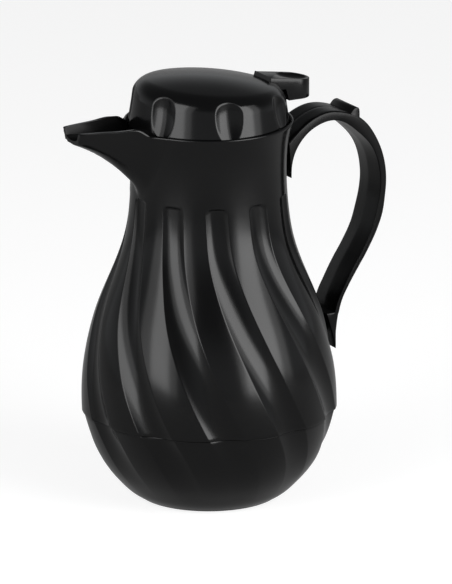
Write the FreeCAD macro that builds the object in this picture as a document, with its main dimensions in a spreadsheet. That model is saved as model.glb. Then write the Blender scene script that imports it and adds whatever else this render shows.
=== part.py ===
import FreeCAD, Part
import math
import os

import Sketcher

# Thermal jug: a swirl-fluted insulated serving jug with an open spout, a loop handle
# and a domed screw lid whose thumb lever lifts a sprung pouring valve.
# Frame: +Z up, origin at the centre of the foot, handle towards +X, spout towards -X.

SHEET = "Dimensions"
ORIGIN = -1
ORIGIN_POINT = 1
START, END, CENTRE = range(1, 4)
CUBIC = 3
QUARTER_TURN = 90

doc = FreeCAD.newDocument("thermal_jug")
sheet = doc.addObject("Spreadsheet::Sheet", SHEET)

# Driving dimensions in millimetres, degrees or counts
DIMENSIONS = {
    # Outer body stations, from the rim down to the seam and on to the foot
    "rim_height": 245.0,
    "rim_radius": 54.0,
    "throat_height": 236.0,
    "throat_radius": 51.4,
    "collar_height": 224.0,
    "collar_radius": 49.7,
    "neck_height": 206.0,
    "neck_radius": 49.4,
    "nape_height": 188.0,
    "nape_radius": 50.7,
    "shoulder_rise": 20.0,
    "shoulder_radius": 54.0,
    "slope_height": 148.0,
    "slope_radius": 60.7,
    "flank_height": 125.0,
    "flank_radius": 70.1,
    "waist_height": 102.0,
    "waist_radius": 76.7,
    "belly_height": 79.0,
    "belly_radius": 80.5,
    "seam_height": 57.0,
    "seam_radius": 81.5,
    "seam_gap": 0.3,
    "seam_step": 1.2,
    "bowl_upper_height": 44.0,
    "bowl_upper_radius": 77.1,
    "bowl_middle_height": 31.0,
    "bowl_middle_radius": 72.3,
    "bowl_lower_height": 19.0,
    "bowl_lower_radius": 65.0,
    "bowl_turn_height": 9.0,
    "bowl_turn_radius": 56.2,
    "bowl_edge_height": 2.6,
    "bowl_edge_radius": 48.6,
    "foot_radius": 44.0,
    "foot_recess_radius": 37.0,
    "foot_recess_depth": 1.6,
    # Walls, insulation and the fits between them
    "neck_wall": 3.0,
    "belly_wall": 5.6,
    "bowl_wall": 4.0,
    "bowl_floor": 3.4,
    "foam_neck": 2.0,
    "foam_body": 5.0,
    "liner_wall": 2.2,
    "nest_gap": 0.25,
    "foam_top_height": 203.0,
    "tongue_wall": 2.6,
    "tongue_rise": 6.0,
    "tongue_root": 9.0,
    # Swirl flutes
    "flute_count": 11,
    "flute_start_angle": 18.5,
    "flute_half_angle": 8.1,
    "flute_swirl": 35.0,
    "flute_tail_swirl": 15.0,
    "flute_top_height": 199.5,
    "flute_full_height": 195.5,
    "flute_depth_top": 2.0,
    "flute_depth_belly": 2.8,
    "flute_depth_bowl": 2.0,
    # Spout
    "spout_reach": 97.0,
    "spout_lip_height": 252.0,
    "spout_root_reach": 42.0,
    "spout_tip_half_width": 12.2,
    "spout_root_half_width": 24.0,
    "spout_tip_depth": 9.4,
    "spout_tip_floor_half_width": 8.2,
    "spout_root_floor_half_width": 4.6,
    "spout_keel_height": 199.0,
    "spout_wall": 2.2,
    "trough_root_height": 236.5,
    "trough_tip_half_width": 6.4,
    "trough_root_half_width": 15.5,
    # Rim cup, liner flange and the seals there
    "cup_floor_height": 230.6,
    "cup_radius": 48.9,
    "cup_wall_height": 234.4,
    "cup_mouth_radius": 52.2,
    "liner_flange": 2.2,
    "liner_flange_radius": 48.6,
    "liner_seal_thickness": 1.0,
    "liner_seal_inner_radius": 46.6,
    "liner_floor_height": 13.0,
    "liner_floor_radius": 42.0,
    # Handle
    "handle_half_width": 13.6,
    "handle_ridge": 1.6,
    "handle_back": 50.6,
    "handle_tail_height": 202.5,
    "handle_top_height": 244.3,
    "handle_strap": 5.4,
    "handle_reach": 122.0,
    "handle_foot_height": 86.0,
    "handle_ledge_height": 109.8,
    "handle_ledge_reach": 77.1,
    "handle_round": 2.0,
    "handle_inner_round": 0.8,
    "stop_reach": 102.4,
    "stop_height": 246.0,
    "stop_length": 9.0,
    "stop_drop": 7.6,
    "boss_radius": 5.5,
    "boss_gap": 0.2,
    "boss_upper_height": 216.0,
    "boss_lower_height": 99.0,
    "boss_upper_floor": 47.9,
    "boss_lower_floor": 74.4,
    "boss_upper_reach": 52.3,
    "boss_lower_reach": 83.4,
    "boss_web": 1.0,
    "handle_screw_radius": 1.5,
    "handle_screw_head_radius": 3.0,
    "handle_screw_head": 1.4,
    "handle_screw_length": 5.2,
    "screw_gap": 0.1,
    # Base plug
    "plug_hole_radius": 9.0,
    "plug_flange_radius": 11.5,
    "plug_flange": 1.2,
    "plug_gap": 0.15,
    # Lid cap
    "lid_skirt_height": 243.5,
    "lid_skirt_radius": 51.0,
    "lid_taper": 7.9,
    "lid_crown_rise": 31.9,
    "lid_crown_radius": 180.0,
    "lid_crown_lean": 4.2,
    "lid_shoulder_round": 12.0,
    "lid_inner_bevel": 8.0,
    "lid_wall": 2.4,
    "scallop_count": 7,
    "scallop_radius": 13.0,
    "scallop_inner_radius": 44.9,
    "scallop_rise": 18.5,
    "scallop_lean": 20.0,
    "scallop_half_length": 24.0,
    "slot_half_width": 11.0,
    "slot_start": 37.6,
    "slot_sill_rise": 6.5,
    # Stopper
    "stopper_radius": 41.7,
    "stopper_depth": 15.9,
    "stopper_floor": 2.4,
    "stopper_wall": 2.4,
    "stopper_flange_radius": 47.4,
    "stopper_flange_height": 235.4,
    "stopper_flange": 2.4,
    "stopper_upper_radius": 45.6,
    "port_half_width": 13.0,
    "port_top_height": 243.6,
    "gasket_inner_radius": 42.6,
    "cover_height": 247.5,
    "cover_thickness": 2.6,
    "cover_radius": 46.2,
    "cover_seal_thickness": 1.2,
    "screw_circle_radius": 31.0,
    "screw_count": 3,
    "screw_first_angle": 60.0,
    "lid_boss_radius": 3.6,
    "lid_screw_radius": 1.4,
    "lid_screw_head_radius": 2.8,
    "lid_screw_head": 1.8,
    "lid_screw_bite": 7.0,
    # Thumb lever and its pin
    "lever_half_width": 10.6,
    "lever_arm_half_width": 6.2,
    "pivot_reach": 36.0,
    "pivot_height": 258.0,
    "pin_radius": 1.5,
    "pin_gap": 0.05,
    "ear_thickness": 2.8,
    "ear_gap": 0.3,
    "ear_radius": 3.4,
    "hub_radius": 4.0,
    "pad_root_rise": 12.0,
    "pad_root_reach": 39.0,
    "pad_end_reach": 71.1,
    "pad_end_height": 265.6,
    "pad_under_height": 261.4,
    "pad_under_reach": 46.0,
    "lip_reach": 52.2,
    "lip_height": 254.0,
    "lip_slant": 2.2,
    "lip_wall": 2.2,
    "dish_radius": 24.0,
    "dish_depth": 2.2,
    "dish_reach": 59.0,
    "arm_thickness": 4.6,
    "arm_tip_reach": 2.5,
    "fork_gap": 0.6,
    "lift_gap": 0.4,
    # Valve
    "valve_hole_radius": 8.5,
    "stem_radius": 2.5,
    "stem_gap": 0.08,
    "stem_foot_radius": 5.0,
    "stem_foot": 1.2,
    "stem_end": 1.0,
    "plug_radius": 11.5,
    "plug_thickness": 3.0,
    "seal_radius": 12.0,
    "seal_thickness": 1.6,
    "seal_seat_gap": 0.1,
    "spring_radius": 8.2,
    "spring_wire": 1.1,
    "spring_seat_gap": 0.1,
    "stem_seal_radius": 4.4,
    "stem_seal_thickness": 1.6,
    "guide_radius": 6.6,
    "guide_length": 4.0,
    "nut_radius": 5.4,
    "nut_thickness": 2.6,
    # Allowance of the tools that cut
    "overrun": 6.0,
}

# Places between named sizes, as shares of the span that they follow
SWIRL_SHARES = (0.0, 0.0, 0.015, 0.066, 0.19, 0.37, 0.57, 0.78, 1.0, 1.06)
FLUTE_START_SHARE = 0.45
TAIL_SWIRL_SHARES = (0.0, 0.2, 0.45, 0.7, 0.85, 1.0)
TAIL_DEPTH_SHARES = (1.0, 1.0, 0.85, 0.55, 0.2, -0.5)
SPOUT_REACH_SHARES = (0.0, 0.22, 0.44, 0.66, 0.85, 1.0)
SPOUT_KEEL_SHARES = (0.0, 0.155, 0.36, 0.60, 0.83, 1.0)
SPOUT_LIP_SHARES = (0.0, 0.0, 0.0, 0.07, 0.8, 1.0)
SPOUT_WIDTH_SHARES = (0.0, 0.23, 0.47, 0.68, 0.92, 1.3)
SPOUT_CORNER_SHARE = 0.3
SPOUT_BULGE_SHARE = 0.33
BEAK_FLOOR_SHARE = 1.3
BEAK_WIDTH_SHARE = 0.7
TROUGH_REACH_SHARES = (-0.12, 0.3, 0.62, 1.0)
FLUTE_TOP_SHARE = 0.3

# Poles of the handle's outer and inner curves, as shares of its reach and its rise
HANDLE_OUTER_SHARES = (
    (0.0, 0.90), (0.24, 1.01), (0.60, 1.01), (0.89, 0.92), (1.02, 0.71),
    (0.97, 0.59), (0.93, 0.49), (0.55, 0.256), (0.465, 0.18), (0.48, 0.0),
)
HANDLE_INNER_SHARES = (
    (0.48, 0.155), (0.50, 0.256), (0.87, 0.46), (0.92, 0.54), (1.036, 0.675),
    (0.957, 0.853), (0.757, 0.943), (0.46, 1.041), (0.008, 0.922), (0.027, 0.763),
)
# Corners of the thumb stop, as shares of its length back from its face and its drop
STOP_SHARES = (
    (1.0, 0.72), (0.8, 0.34), (0.56, 0.08), (0.36, 0.0), (0.12, 0.03), (0.0, 0.2), (0.0, 1.0),
)
# Steps of the handle's rounded edges: depth in from its side and draw-in, as shares
ROUND_SHARES = ((0.0, 1.0), (0.293, 0.293), (1.0, 0.0))


class Size:
    """A number together with the sheet expression that gives it."""

    def __init__(self, value, text):
        self.value = value
        self.text = text

    def __add__(self, other):
        return joined(self, "+", other)

    def __radd__(self, other):
        return joined(other, "+", self)

    def __sub__(self, other):
        return joined(self, "-", other)

    def __rsub__(self, other):
        return joined(other, "-", self)

    def __mul__(self, other):
        return joined(self, "*", other)

    def __rmul__(self, other):
        return joined(other, "*", self)

    def __truediv__(self, other):
        return joined(self, "/", other)

    def __neg__(self):
        return Size(-self.value, "(0 - %s)" % self.text)


def as_size(number):
    """Wrap a plain number so that it can stand beside named sizes."""
    return number if isinstance(number, Size) else Size(float(number), "%.9g" % number)


def joined(left, sign, right):
    """Combine two sizes, keeping the number and its expression together."""
    left, right = as_size(left), as_size(right)
    results = {
        "+": lambda: left.value + right.value,
        "-": lambda: left.value - right.value,
        "*": lambda: left.value * right.value,
        "/": lambda: left.value / right.value,
    }
    return Size(results[sign](), "(%s %s %s)" % (left.text, sign, right.text))


def cosine(angle):
    return Size(math.cos(math.radians(angle.value)), "cos(%s * 1 deg)" % angle.text)


def sine(angle):
    return Size(math.sin(math.radians(angle.value)), "sin(%s * 1 deg)" % angle.text)


def tangent(angle):
    return Size(math.tan(math.radians(angle.value)), "tan(%s * 1 deg)" % angle.text)


def square_root(size):
    return Size(math.sqrt(size.value), "sqrt(%s)" % size.text)


def between(first, last, share):
    """The size that lies at a share of the way from first to last."""
    return first + (last - first) * share


def fill_sheet():
    """Write every driving dimension into its own aliased cell."""
    sizes = {}
    for row, (name, number) in enumerate(DIMENSIONS.items(), start=1):
        sheet.set("A%d" % row, name)
        sheet.set("B%d" % row, str(number))
        sheet.setAlias("B%d" % row, name)
        sizes[name] = Size(float(number), "%s.%s" % (SHEET, name))
    doc.recompute()
    return sizes


D = fill_sheet()

# Heights that follow the height they are measured from
D["shoulder_height"] = D["slope_height"] + D["shoulder_rise"]
D["lid_crown_height"] = D["lid_skirt_height"] + D["lid_crown_rise"]
D["stopper_floor_height"] = D["stopper_flange_height"] - D["stopper_depth"]
D["pad_root_height"] = D["pivot_height"] + D["pad_root_rise"]
D["scallop_height"] = D["lid_skirt_height"] + D["scallop_rise"]
D["slot_sill_height"] = D["lid_skirt_height"] + D["slot_sill_rise"]

NOTHING = as_size(0)


def new_body(label):
    body = doc.addObject("PartDesign::Body", label)
    body.Label = label
    return body


def origin_feature(body, role):
    for feature in body.Origin.OriginFeatures:
        if feature.Role == role:
            return feature
    raise ValueError(role)


def new_sketch(body, label, role, offset=NOTHING, turn=0):
    """Attach a sketch to one of the body's own origin planes, at an offset along its normal
    and turned in its plane by an angle."""
    sketch = body.newObject("Sketcher::SketchObject", label)
    sketch.AttachmentSupport = (origin_feature(body, role), [""])
    sketch.MapMode = "FlatFace"
    sketch.AttachmentOffset = FreeCAD.Placement(
        FreeCAD.Vector(0, 0, offset.value), FreeCAD.Rotation(turn, 0, 0)
    )
    if offset is not NOTHING:
        sketch.setExpression(".AttachmentOffset.Base.z", offset.text)
    return sketch


def tie(sketch, kind, size, *places):
    """Add one driving constraint and bind it to its expression."""
    index = sketch.addConstraint(Sketcher.Constraint(kind, *places, size.value))
    sketch.setExpression("Constraints[%d]" % index, size.text)


def tie_point(sketch, geometry, end, point):
    across, up = point
    tie(sketch, "DistanceX", as_size(across), ORIGIN, ORIGIN_POINT, geometry, end)
    tie(sketch, "DistanceY", as_size(up), ORIGIN, ORIGIN_POINT, geometry, end)


def vector(point):
    return FreeCAD.Vector(as_size(point[0]).value, as_size(point[1]).value, 0)


def add_circle(sketch, radius, centre=(NOTHING, NOTHING)):
    geometry = sketch.addGeometry(
        Part.Circle(vector(centre), FreeCAD.Vector(0, 0, 1), radius.value)
    )
    tie_point(sketch, geometry, CENTRE, centre)
    tie(sketch, "Radius", radius, geometry)


def clamped_curve(poles):
    """A smooth curve that starts and ends on its first and last pole."""
    curve = Part.BSplineCurve()
    degree = min(CUBIC, len(poles) - 1)
    spans = len(poles) - degree
    knots = [index / spans for index in range(spans + 1)]
    counts = [degree + 1] + [1] * (spans - 1) + [degree + 1]
    curve.buildFromPolesMultsKnots([vector(p) for p in poles], counts, knots, False, degree)
    return curve


def add_curve(sketch, poles):
    """Draw a smooth curve and tie its poles to named sizes, all but the last, which the
    next stretch of the outline holds."""
    geometry = sketch.addGeometry(clamped_curve(poles))
    first = None
    for index, pole in enumerate(poles):
        handle = sketch.addGeometry(
            Part.Circle(vector(pole), FreeCAD.Vector(0, 0, 1), 1), True
        )
        if first is None:
            first = handle
            sketch.addConstraint(Sketcher.Constraint("Weight", handle, 1.0))
        else:
            sketch.addConstraint(Sketcher.Constraint("Equal", first, handle))
        sketch.addConstraint(
            Sketcher.Constraint(
                "InternalAlignment:Sketcher::BSplineControlPoint",
                handle, CENTRE, geometry, index,
            )
        )
        if index < len(poles) - 1:
            tie_point(sketch, handle, CENTRE, pole)
    return geometry


class Turn:
    """A round stretch of an outline: an arc of one radius to an end point."""

    def __init__(self, end, radius, leftward):
        self.end = end
        self.radius = radius
        self.leftward = leftward

    def draw(self, sketch, start):
        """Add the arc and return it with the numbers of its first and last ends."""
        first, last = vector(start), vector(self.end)
        chord = last - first
        rise = math.sqrt(self.radius.value ** 2 - chord.Length ** 2 / 4)
        side = 1 if self.leftward else -1
        normal = FreeCAD.Vector(-chord.y, chord.x, 0).normalize()
        centre = first + chord * 0.5 + normal * (rise * side)
        ends = (first, last) if self.leftward else (last, first)
        angles = [math.atan2(p.y - centre.y, p.x - centre.x) for p in ends]
        circle = Part.Circle(centre, FreeCAD.Vector(0, 0, 1), self.radius.value)
        geometry = sketch.addGeometry(Part.ArcOfCircle(circle, angles[0], angles[1]))
        tie(sketch, "Radius", self.radius, geometry)
        return (geometry, START, END) if self.leftward else (geometry, END, START)


def draw_outline(sketch, start, *pieces):
    """Draw a closed outline. A piece of one point is a line to it, a piece of several
    points is a smooth curve whose poles are those points, and a Turn is an arc."""
    here = start
    drawn = []
    for piece in pieces:
        if isinstance(piece, Turn):
            drawn.append(piece.draw(sketch, here))
            tie_point(sketch, drawn[-1][0], drawn[-1][1], here)
            here = piece.end
            continue
        if len(piece) == 1:
            geometry = sketch.addGeometry(Part.LineSegment(vector(here), vector(piece[0])))
            tie_point(sketch, geometry, START, here)
        else:
            geometry = add_curve(sketch, [here] + list(piece))
        drawn.append((geometry, START, END))
        here = piece[-1]
    for index, (geometry, first, last) in enumerate(drawn):
        follower, entry, leaving = drawn[(index + 1) % len(drawn)]
        sketch.addConstraint(
            Sketcher.Constraint("Coincident", geometry, last, follower, entry)
        )


def polygon(sketch, *corners):
    draw_outline(sketch, corners[0], *[[corner] for corner in corners[1:]], [corners[0]])


def box_corners(left, bottom, right, top):
    return (left, bottom), (right, bottom), (right, top), (left, top)


def add_axis(sketch, first, last):
    """Draw a construction line that a feature of this sketch turns about."""
    geometry = sketch.addGeometry(Part.LineSegment(vector(first), vector(last)), True)
    tie_point(sketch, geometry, START, first)
    tie_point(sketch, geometry, END, last)


def revolve(body, label, sketch, kind="PartDesign::Revolution", axis="V_Axis"):
    feature = body.newObject(kind, label)
    feature.Profile = sketch
    feature.ReferenceAxis = (sketch, [axis])
    feature.Angle = 360
    feature.Refine = False
    return feature


def ring(label, *corners):
    """A body turned from one half section, given by its corners as (radius, height)."""
    body = new_body(label)
    sketch = new_sketch(body, label + "_section", "XZ_Plane")
    polygon(sketch, *corners)
    revolve(body, label + "_turned", sketch)
    return body


def ring_box(label, inner, bottom, outer, top):
    return ring(label, *box_corners(inner, bottom, outer, top))


def loft(body, label, sketches, kind="PartDesign::AdditiveLoft", ruled=False):
    feature = body.newObject(kind, label)
    feature.Profile = sketches[0]
    feature.Sections = sketches[1:]
    feature.Ruled = ruled
    feature.Refine = False
    return feature


def extrude(body, label, sketch, length, kind="PartDesign::Pad", midplane=False, back=False):
    feature = body.newObject(kind, label)
    feature.Profile = sketch
    feature.Length = length.value
    feature.setExpression("Length", length.text)
    feature.Midplane = midplane
    feature.Reversed = back
    feature.Refine = False
    return feature


def around(body, label, feature, count):
    """Repeat a feature evenly about the vertical axis."""
    pattern = body.newObject("PartDesign::PolarPattern", label)
    pattern.Originals = [feature]
    pattern.Axis = (origin_feature(body, "Z_Axis"), [""])
    pattern.Angle = 360
    pattern.Occurrences = int(count.value)
    pattern.setExpression("Occurrences", count.text)
    pattern.Refine = False
    body.Tip = pattern
    return pattern


def ring_loft(body, label, stations, kind="PartDesign::AdditiveLoft"):
    """Loft through circles about the vertical axis, each at (height, radius). The circles
    start at the far side, so that the loft's seam runs clear of handle and spout."""
    sketches = []
    for index, (height, radius) in enumerate(stations):
        name = "%s_ring_%d" % (label, index)
        sketch = new_sketch(body, name, "XY_Plane", height, QUARTER_TURN)
        add_circle(sketch, radius)
        sketches.append(sketch)
    return loft(body, label, sketches, kind)


def turned(body, label, stations, kind="PartDesign::Revolution", lead=NOTHING):
    """Turn a plain inner wall through stations of (height, radius), from the top down. A
    lead carries it straight on above its first station."""
    corners = [(radius, height) for height, radius in stations]
    top, bottom = corners[0][1] + lead, corners[-1][1]
    if lead is not NOTHING:
        corners.insert(0, (corners[0][0], top))
    sketch = new_sketch(body, label + "_section", "XZ_Plane")
    polygon(sketch, (NOTHING, top), *corners, (NOTHING, bottom))
    return revolve(body, label, sketch, kind)


def edges_where(shape, wanted):
    """Names of the edges of a shape for which a test holds."""
    return ["Edge%d" % (i + 1) for i, edge in enumerate(shape.Edges) if wanted(edge)]


def round_edges(body, label, feature, edges, radius):
    fillet = body.newObject("PartDesign::Fillet", label)
    fillet.Base = (feature, edges)
    fillet.Radius = radius.value
    fillet.setExpression("Radius", radius.text)
    return fillet


def bevel_edges(body, label, feature, edges, size):
    bevel = body.newObject("PartDesign::Chamfer", label)
    bevel.Base = (feature, edges)
    bevel.Size = size.value
    bevel.setExpression("Size", size.text)
    return bevel


def group(label, bodies):
    """One node of several alike solids that stay separate."""
    compound = doc.addObject("Part::Compound", label)
    compound.Label = label
    compound.Links = bodies
    return compound


def body_station(name):
    return D["%s_height" % name], D["%s_radius" % name]


UPPER = ("rim", "throat", "collar", "neck", "nape", "shoulder", "slope", "flank", "waist",
         "belly", "seam")
LOWER = ("bowl_upper", "bowl_middle", "bowl_lower", "bowl_turn", "bowl_edge")
INSIDE = ("neck", "shoulder", "flank", "belly", "seam")


def shell_inner(name):
    """Height and inner radius of the upper shell: thin at the neck, thick at the flutes."""
    height, radius = body_station(name)
    return height, radius - (D["neck_wall"] if name == "neck" else D["belly_wall"])


def bowl_inner(name):
    height, radius = body_station(name)
    return height, radius - D["bowl_wall"]


def cutter_ring(body, label, height, lobe_radius, half_depth, depth, angle):
    """One round section of a flute cutter. Its radius is set by the flute's full depth and
    half angle at this station, and its centre by the depth that it reaches here."""
    floor = lobe_radius - half_depth
    reach = (lobe_radius * lobe_radius - floor * floor) / (
        2 * (lobe_radius * cosine(D["flute_half_angle"]) - floor)
    )
    radius = reach - floor
    centre = lobe_radius - depth + radius
    sketch = new_sketch(body, label, "XY_Plane", height)
    add_circle(sketch, radius, (centre * cosine(angle), centre * sine(angle)))
    return sketch


def cut_upper_flutes(body):
    """Cut the swirl flutes of the upper shell with one lofted cutter, repeated round. It
    starts at part of its depth, so that each flute has a crisp top."""
    full = D["flute_depth_top"]
    top_radius = between(D["neck_radius"], D["nape_radius"], FLUTE_TOP_SHARE)
    rows = [
        (D["flute_top_height"], top_radius, full, full * FLUTE_START_SHARE),
        (D["flute_full_height"], top_radius, full, full),
        (D["nape_height"], D["nape_radius"], full, full),
    ]
    names = ("shoulder", "slope", "flank", "waist", "belly", "seam")
    for index, name in enumerate(names):
        height, radius = body_station(name)
        depth = between(
            D["flute_depth_top"], D["flute_depth_belly"], (index + 1) / len(names)
        )
        rows.append((height, radius, depth, depth))
    rows.append((D["seam_height"] - D["overrun"],) + rows[-1][1:])
    sketches = []
    for index, (height, radius, full, depth) in enumerate(rows):
        angle = D["flute_start_angle"] + D["flute_swirl"] * SWIRL_SHARES[index]
        sketches.append(
            cutter_ring(body, "flute_ring_%d" % index, height, radius, full, depth, angle)
        )
    flute = loft(body, "flute", sketches, "PartDesign::SubtractiveLoft")
    return around(body, "flutes", flute, D["flute_count"])


def cut_tail_flutes(body):
    """Cut the ends of the flutes, which turn on and fade out towards the foot."""
    rows = [(D["seam_height"] + D["overrun"], bowl_top_radius)]
    rows.append((bowl_top_height, bowl_top_radius))
    rows += [body_station(name) for name in LOWER[:4]]
    sketches = []
    for index, (height, radius) in enumerate(rows):
        angle = D["flute_start_angle"] + D["flute_swirl"]
        angle = angle + D["flute_tail_swirl"] * TAIL_SWIRL_SHARES[index]
        depth = D["flute_depth_bowl"] * TAIL_DEPTH_SHARES[index]
        sketches.append(
            cutter_ring(
                body, "tail_ring_%d" % index, height, radius, D["flute_depth_bowl"], depth,
                angle,
            )
        )
    tail = loft(body, "flute_tail", sketches, "PartDesign::SubtractiveLoft")
    return around(body, "flute_tails", tail, D["flute_count"])


def trench_section(sketch, top, top_half, floor, floor_half, rise=NOTHING):
    """A tapered U section, closed across its top, with rounded lower corners. A rise
    carries its sides on past the top."""
    slope = (top_half - floor_half) / (top - floor)
    corner = between(floor, top, SPOUT_CORNER_SHARE)
    belly = floor - (corner - floor) * SPOUT_BULGE_SHARE
    crest = top + rise
    crest_half, corner_half, belly_half = [
        floor_half + slope * (height - floor) for height in (crest, corner, belly)
    ]
    draw_outline(
        sketch,
        (-crest_half, crest),
        [(-corner_half, corner)],
        [(-belly_half, belly), (belly_half, belly), (corner_half, corner)],
        [(crest_half, crest)],
        [(-crest_half, crest)],
    )


def spout_station(index):
    """Reach, lip height, lip half width, keel height and keel half width of the spout."""
    share = SPOUT_REACH_SHARES[index]
    return (
        between(D["spout_reach"], D["spout_root_reach"], share),
        between(D["spout_lip_height"], D["rim_height"], SPOUT_LIP_SHARES[index]),
        between(
            D["spout_tip_half_width"], D["spout_root_half_width"],
            SPOUT_WIDTH_SHARES[index],
        ),
        between(
            D["spout_lip_height"] - D["spout_tip_depth"], D["spout_keel_height"],
            SPOUT_KEEL_SHARES[index],
        ),
        between(
            D["spout_tip_floor_half_width"], D["spout_root_floor_half_width"], share
        ),
    )


def trough_floor(share):
    return between(
        D["spout_lip_height"] - D["spout_tip_depth"] + D["spout_wall"],
        D["trough_root_height"], share,
    )


def add_spout(body):
    sketches = []
    for index in range(len(SPOUT_REACH_SHARES)):
        reach, lip, lip_half, keel, keel_half = spout_station(index)
        sketch = new_sketch(body, "spout_section_%d" % index, "YZ_Plane", -reach)
        trench_section(sketch, lip, lip_half, keel, keel_half)
        sketches.append(sketch)
    loft(body, "spout", sketches)


def cut_trough(body):
    """Cut the open channel of the spout, through its tip and into the rim cup."""
    sketches = []
    for index, share in enumerate(TROUGH_REACH_SHARES):
        reach = between(D["spout_reach"], D["cup_radius"] - D["overrun"], share)
        top_half = between(
            D["spout_tip_half_width"], D["spout_root_half_width"], share
        ) - D["spout_wall"]
        floor_half = between(
            D["trough_tip_half_width"], D["trough_root_half_width"], share
        )
        sketch = new_sketch(body, "trough_section_%d" % index, "YZ_Plane", -reach)
        trench_section(
            sketch, D["spout_lip_height"], top_half, trough_floor(share), floor_half,
            D["overrun"],
        )
        sketches.append(sketch)
    loft(body, "trough", sketches, "PartDesign::SubtractiveLoft", ruled=True)


def hollow_beak(body):
    """Hollow the spout below its trough, open to the space inside the neck."""
    sketches = []
    ceiling = D["cup_floor_height"] - D["spout_wall"]
    stations = [spout_station(index) for index in range(2, len(SPOUT_REACH_SHARES))]
    stations.append((stations[-1][0] - D["overrun"],) + stations[-1][1:])
    for index, (reach, lip, lip_half, keel, keel_half) in enumerate(stations):
        share = (D["spout_reach"] - reach) / (D["spout_reach"] - D["cup_radius"])
        top = trough_floor(share) - D["spout_wall"] if index < 2 else ceiling
        slope = (lip_half - keel_half) / (lip - keel)
        floor = keel + D["spout_wall"] * BEAK_FLOOR_SHARE
        top_half = keel_half + slope * (top - keel) - D["spout_wall"]
        floor_half = keel_half * BEAK_WIDTH_SHARE
        sketch = new_sketch(body, "beak_section_%d" % index, "YZ_Plane", -reach)
        trench_section(sketch, top, top_half, floor, floor_half)
        sketches.append(sketch)
    loft(body, "beak_hollow", sketches, "PartDesign::SubtractiveLoft", ruled=True)


def hollow_shell(body):
    """Turn the inside: the wide cavity, the neck's bore and the stepped rim cup."""
    wall = [(radius, height) for height, radius in map(shell_inner, reversed(INSIDE))]
    bottom = D["seam_height"] - D["overrun"]
    top = D["spout_lip_height"] + D["overrun"]
    sketch = new_sketch(body, "inside_section", "XZ_Plane")
    polygon(
        sketch,
        (NOTHING, bottom),
        (wall[0][0], bottom),
        *wall,
        (wall[-1][0], D["cup_floor_height"]),
        (D["cup_radius"], D["cup_floor_height"]),
        (D["cup_radius"], D["cup_wall_height"]),
        (D["cup_mouth_radius"], D["rim_height"]),
        (D["cup_mouth_radius"], top),
        (NOTHING, top),
    )
    revolve(body, "inside", sketch, "PartDesign::Groove")


def disc_cut(body, label, role, offset, centre, radius, length, back=False):
    """Cut a round hole down from a plane, or on up from it when back is set."""
    sketch = new_sketch(body, label + "_circle", role, offset)
    add_circle(sketch, radius, centre)
    return extrude(body, label, sketch, length, "PartDesign::Pocket", back=back)


def disc_add(body, label, role, offset, centre, radius, length, back=False):
    """Raise a round boss from a plane along its normal, or against it."""
    sketch = new_sketch(body, label + "_circle", role, offset)
    add_circle(sketch, radius, centre)
    return extrude(body, label, sketch, length, back=back)


def handle_mounts():
    """Name, height, socket floor, screw seat and boss reach of the handle's two fixings."""
    return [
        (
            name, D["boss_%s_height" % name], D["boss_%s_floor" % name],
            D["boss_%s_floor" % name] - D["boss_web"], D["boss_%s_reach" % name],
        )
        for name in ("upper", "lower")
    ]


def cut_handle_sockets(body):
    """Cut each boss socket from outside, and its screw hole and screw seat from inside."""
    for name, height, floor, seat, reach in handle_mounts():
        centre = (NOTHING, height)
        disc_cut(
            body, name + "_socket", "YZ_Plane", floor, centre,
            D["boss_radius"] + D["boss_gap"], D["overrun"], back=True,
        )
        disc_cut(
            body, name + "_screw_hole", "YZ_Plane", floor, centre,
            D["handle_screw_radius"] + D["screw_gap"], D["overrun"],
        )
        disc_cut(
            body, name + "_screw_seat", "YZ_Plane", seat, centre,
            D["handle_screw_head_radius"] + D["boss_gap"], D["overrun"],
        )


def make_outer_shell():
    body = new_body("outer_shell")
    ring_loft(body, "shell_outside", [body_station(name) for name in UPPER])
    cut_upper_flutes(body)
    add_spout(body)
    hollow_shell(body)
    cut_trough(body)
    hollow_beak(body)
    cut_handle_sockets(body)
    return body


def make_base_bowl():
    body = new_body("base_bowl")
    stations = [(bowl_top_height, bowl_top_radius)]
    stations += [body_station(name) for name in LOWER]
    stations.append((NOTHING, D["foot_radius"]))
    ring_loft(body, "bowl_outside", stations)
    floor = D["foot_recess_depth"] + D["bowl_floor"]
    inner = [(bowl_top_height, bowl_top_radius - D["bowl_wall"])]
    inner.append(bowl_inner("bowl_middle"))
    inner.append((floor, D["bowl_edge_radius"] - D["bowl_wall"] / 2))
    turned(body, "bowl_inside", inner, "PartDesign::Groove", D["overrun"])
    sketch = new_sketch(body, "tongue_section", "XZ_Plane")
    root = D["seam_height"] - D["tongue_root"]
    polygon(
        sketch,
        (tongue_radius - D["tongue_wall"], root),
        (bowl_top_radius - D["bowl_wall"], root),
        (bowl_top_radius - D["bowl_wall"] / 2, bowl_top_height),
        (tongue_radius, bowl_top_height),
        (tongue_radius, D["seam_height"] + D["tongue_rise"]),
        (tongue_radius - D["tongue_wall"], D["seam_height"] + D["tongue_rise"]),
    )
    revolve(body, "tongue", sketch)
    sketch = new_sketch(body, "foot_section", "XZ_Plane")
    polygon(
        sketch,
        (NOTHING, -D["overrun"]),
        (D["foot_recess_radius"], -D["overrun"]),
        (D["foot_recess_radius"], D["foot_recess_depth"]),
        (D["plug_hole_radius"], D["foot_recess_depth"]),
        (D["plug_hole_radius"], floor + D["overrun"]),
        (NOTHING, floor + D["overrun"]),
    )
    revolve(body, "foot_recess", sketch, "PartDesign::Groove")
    cut_tail_flutes(body)
    return body


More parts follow.
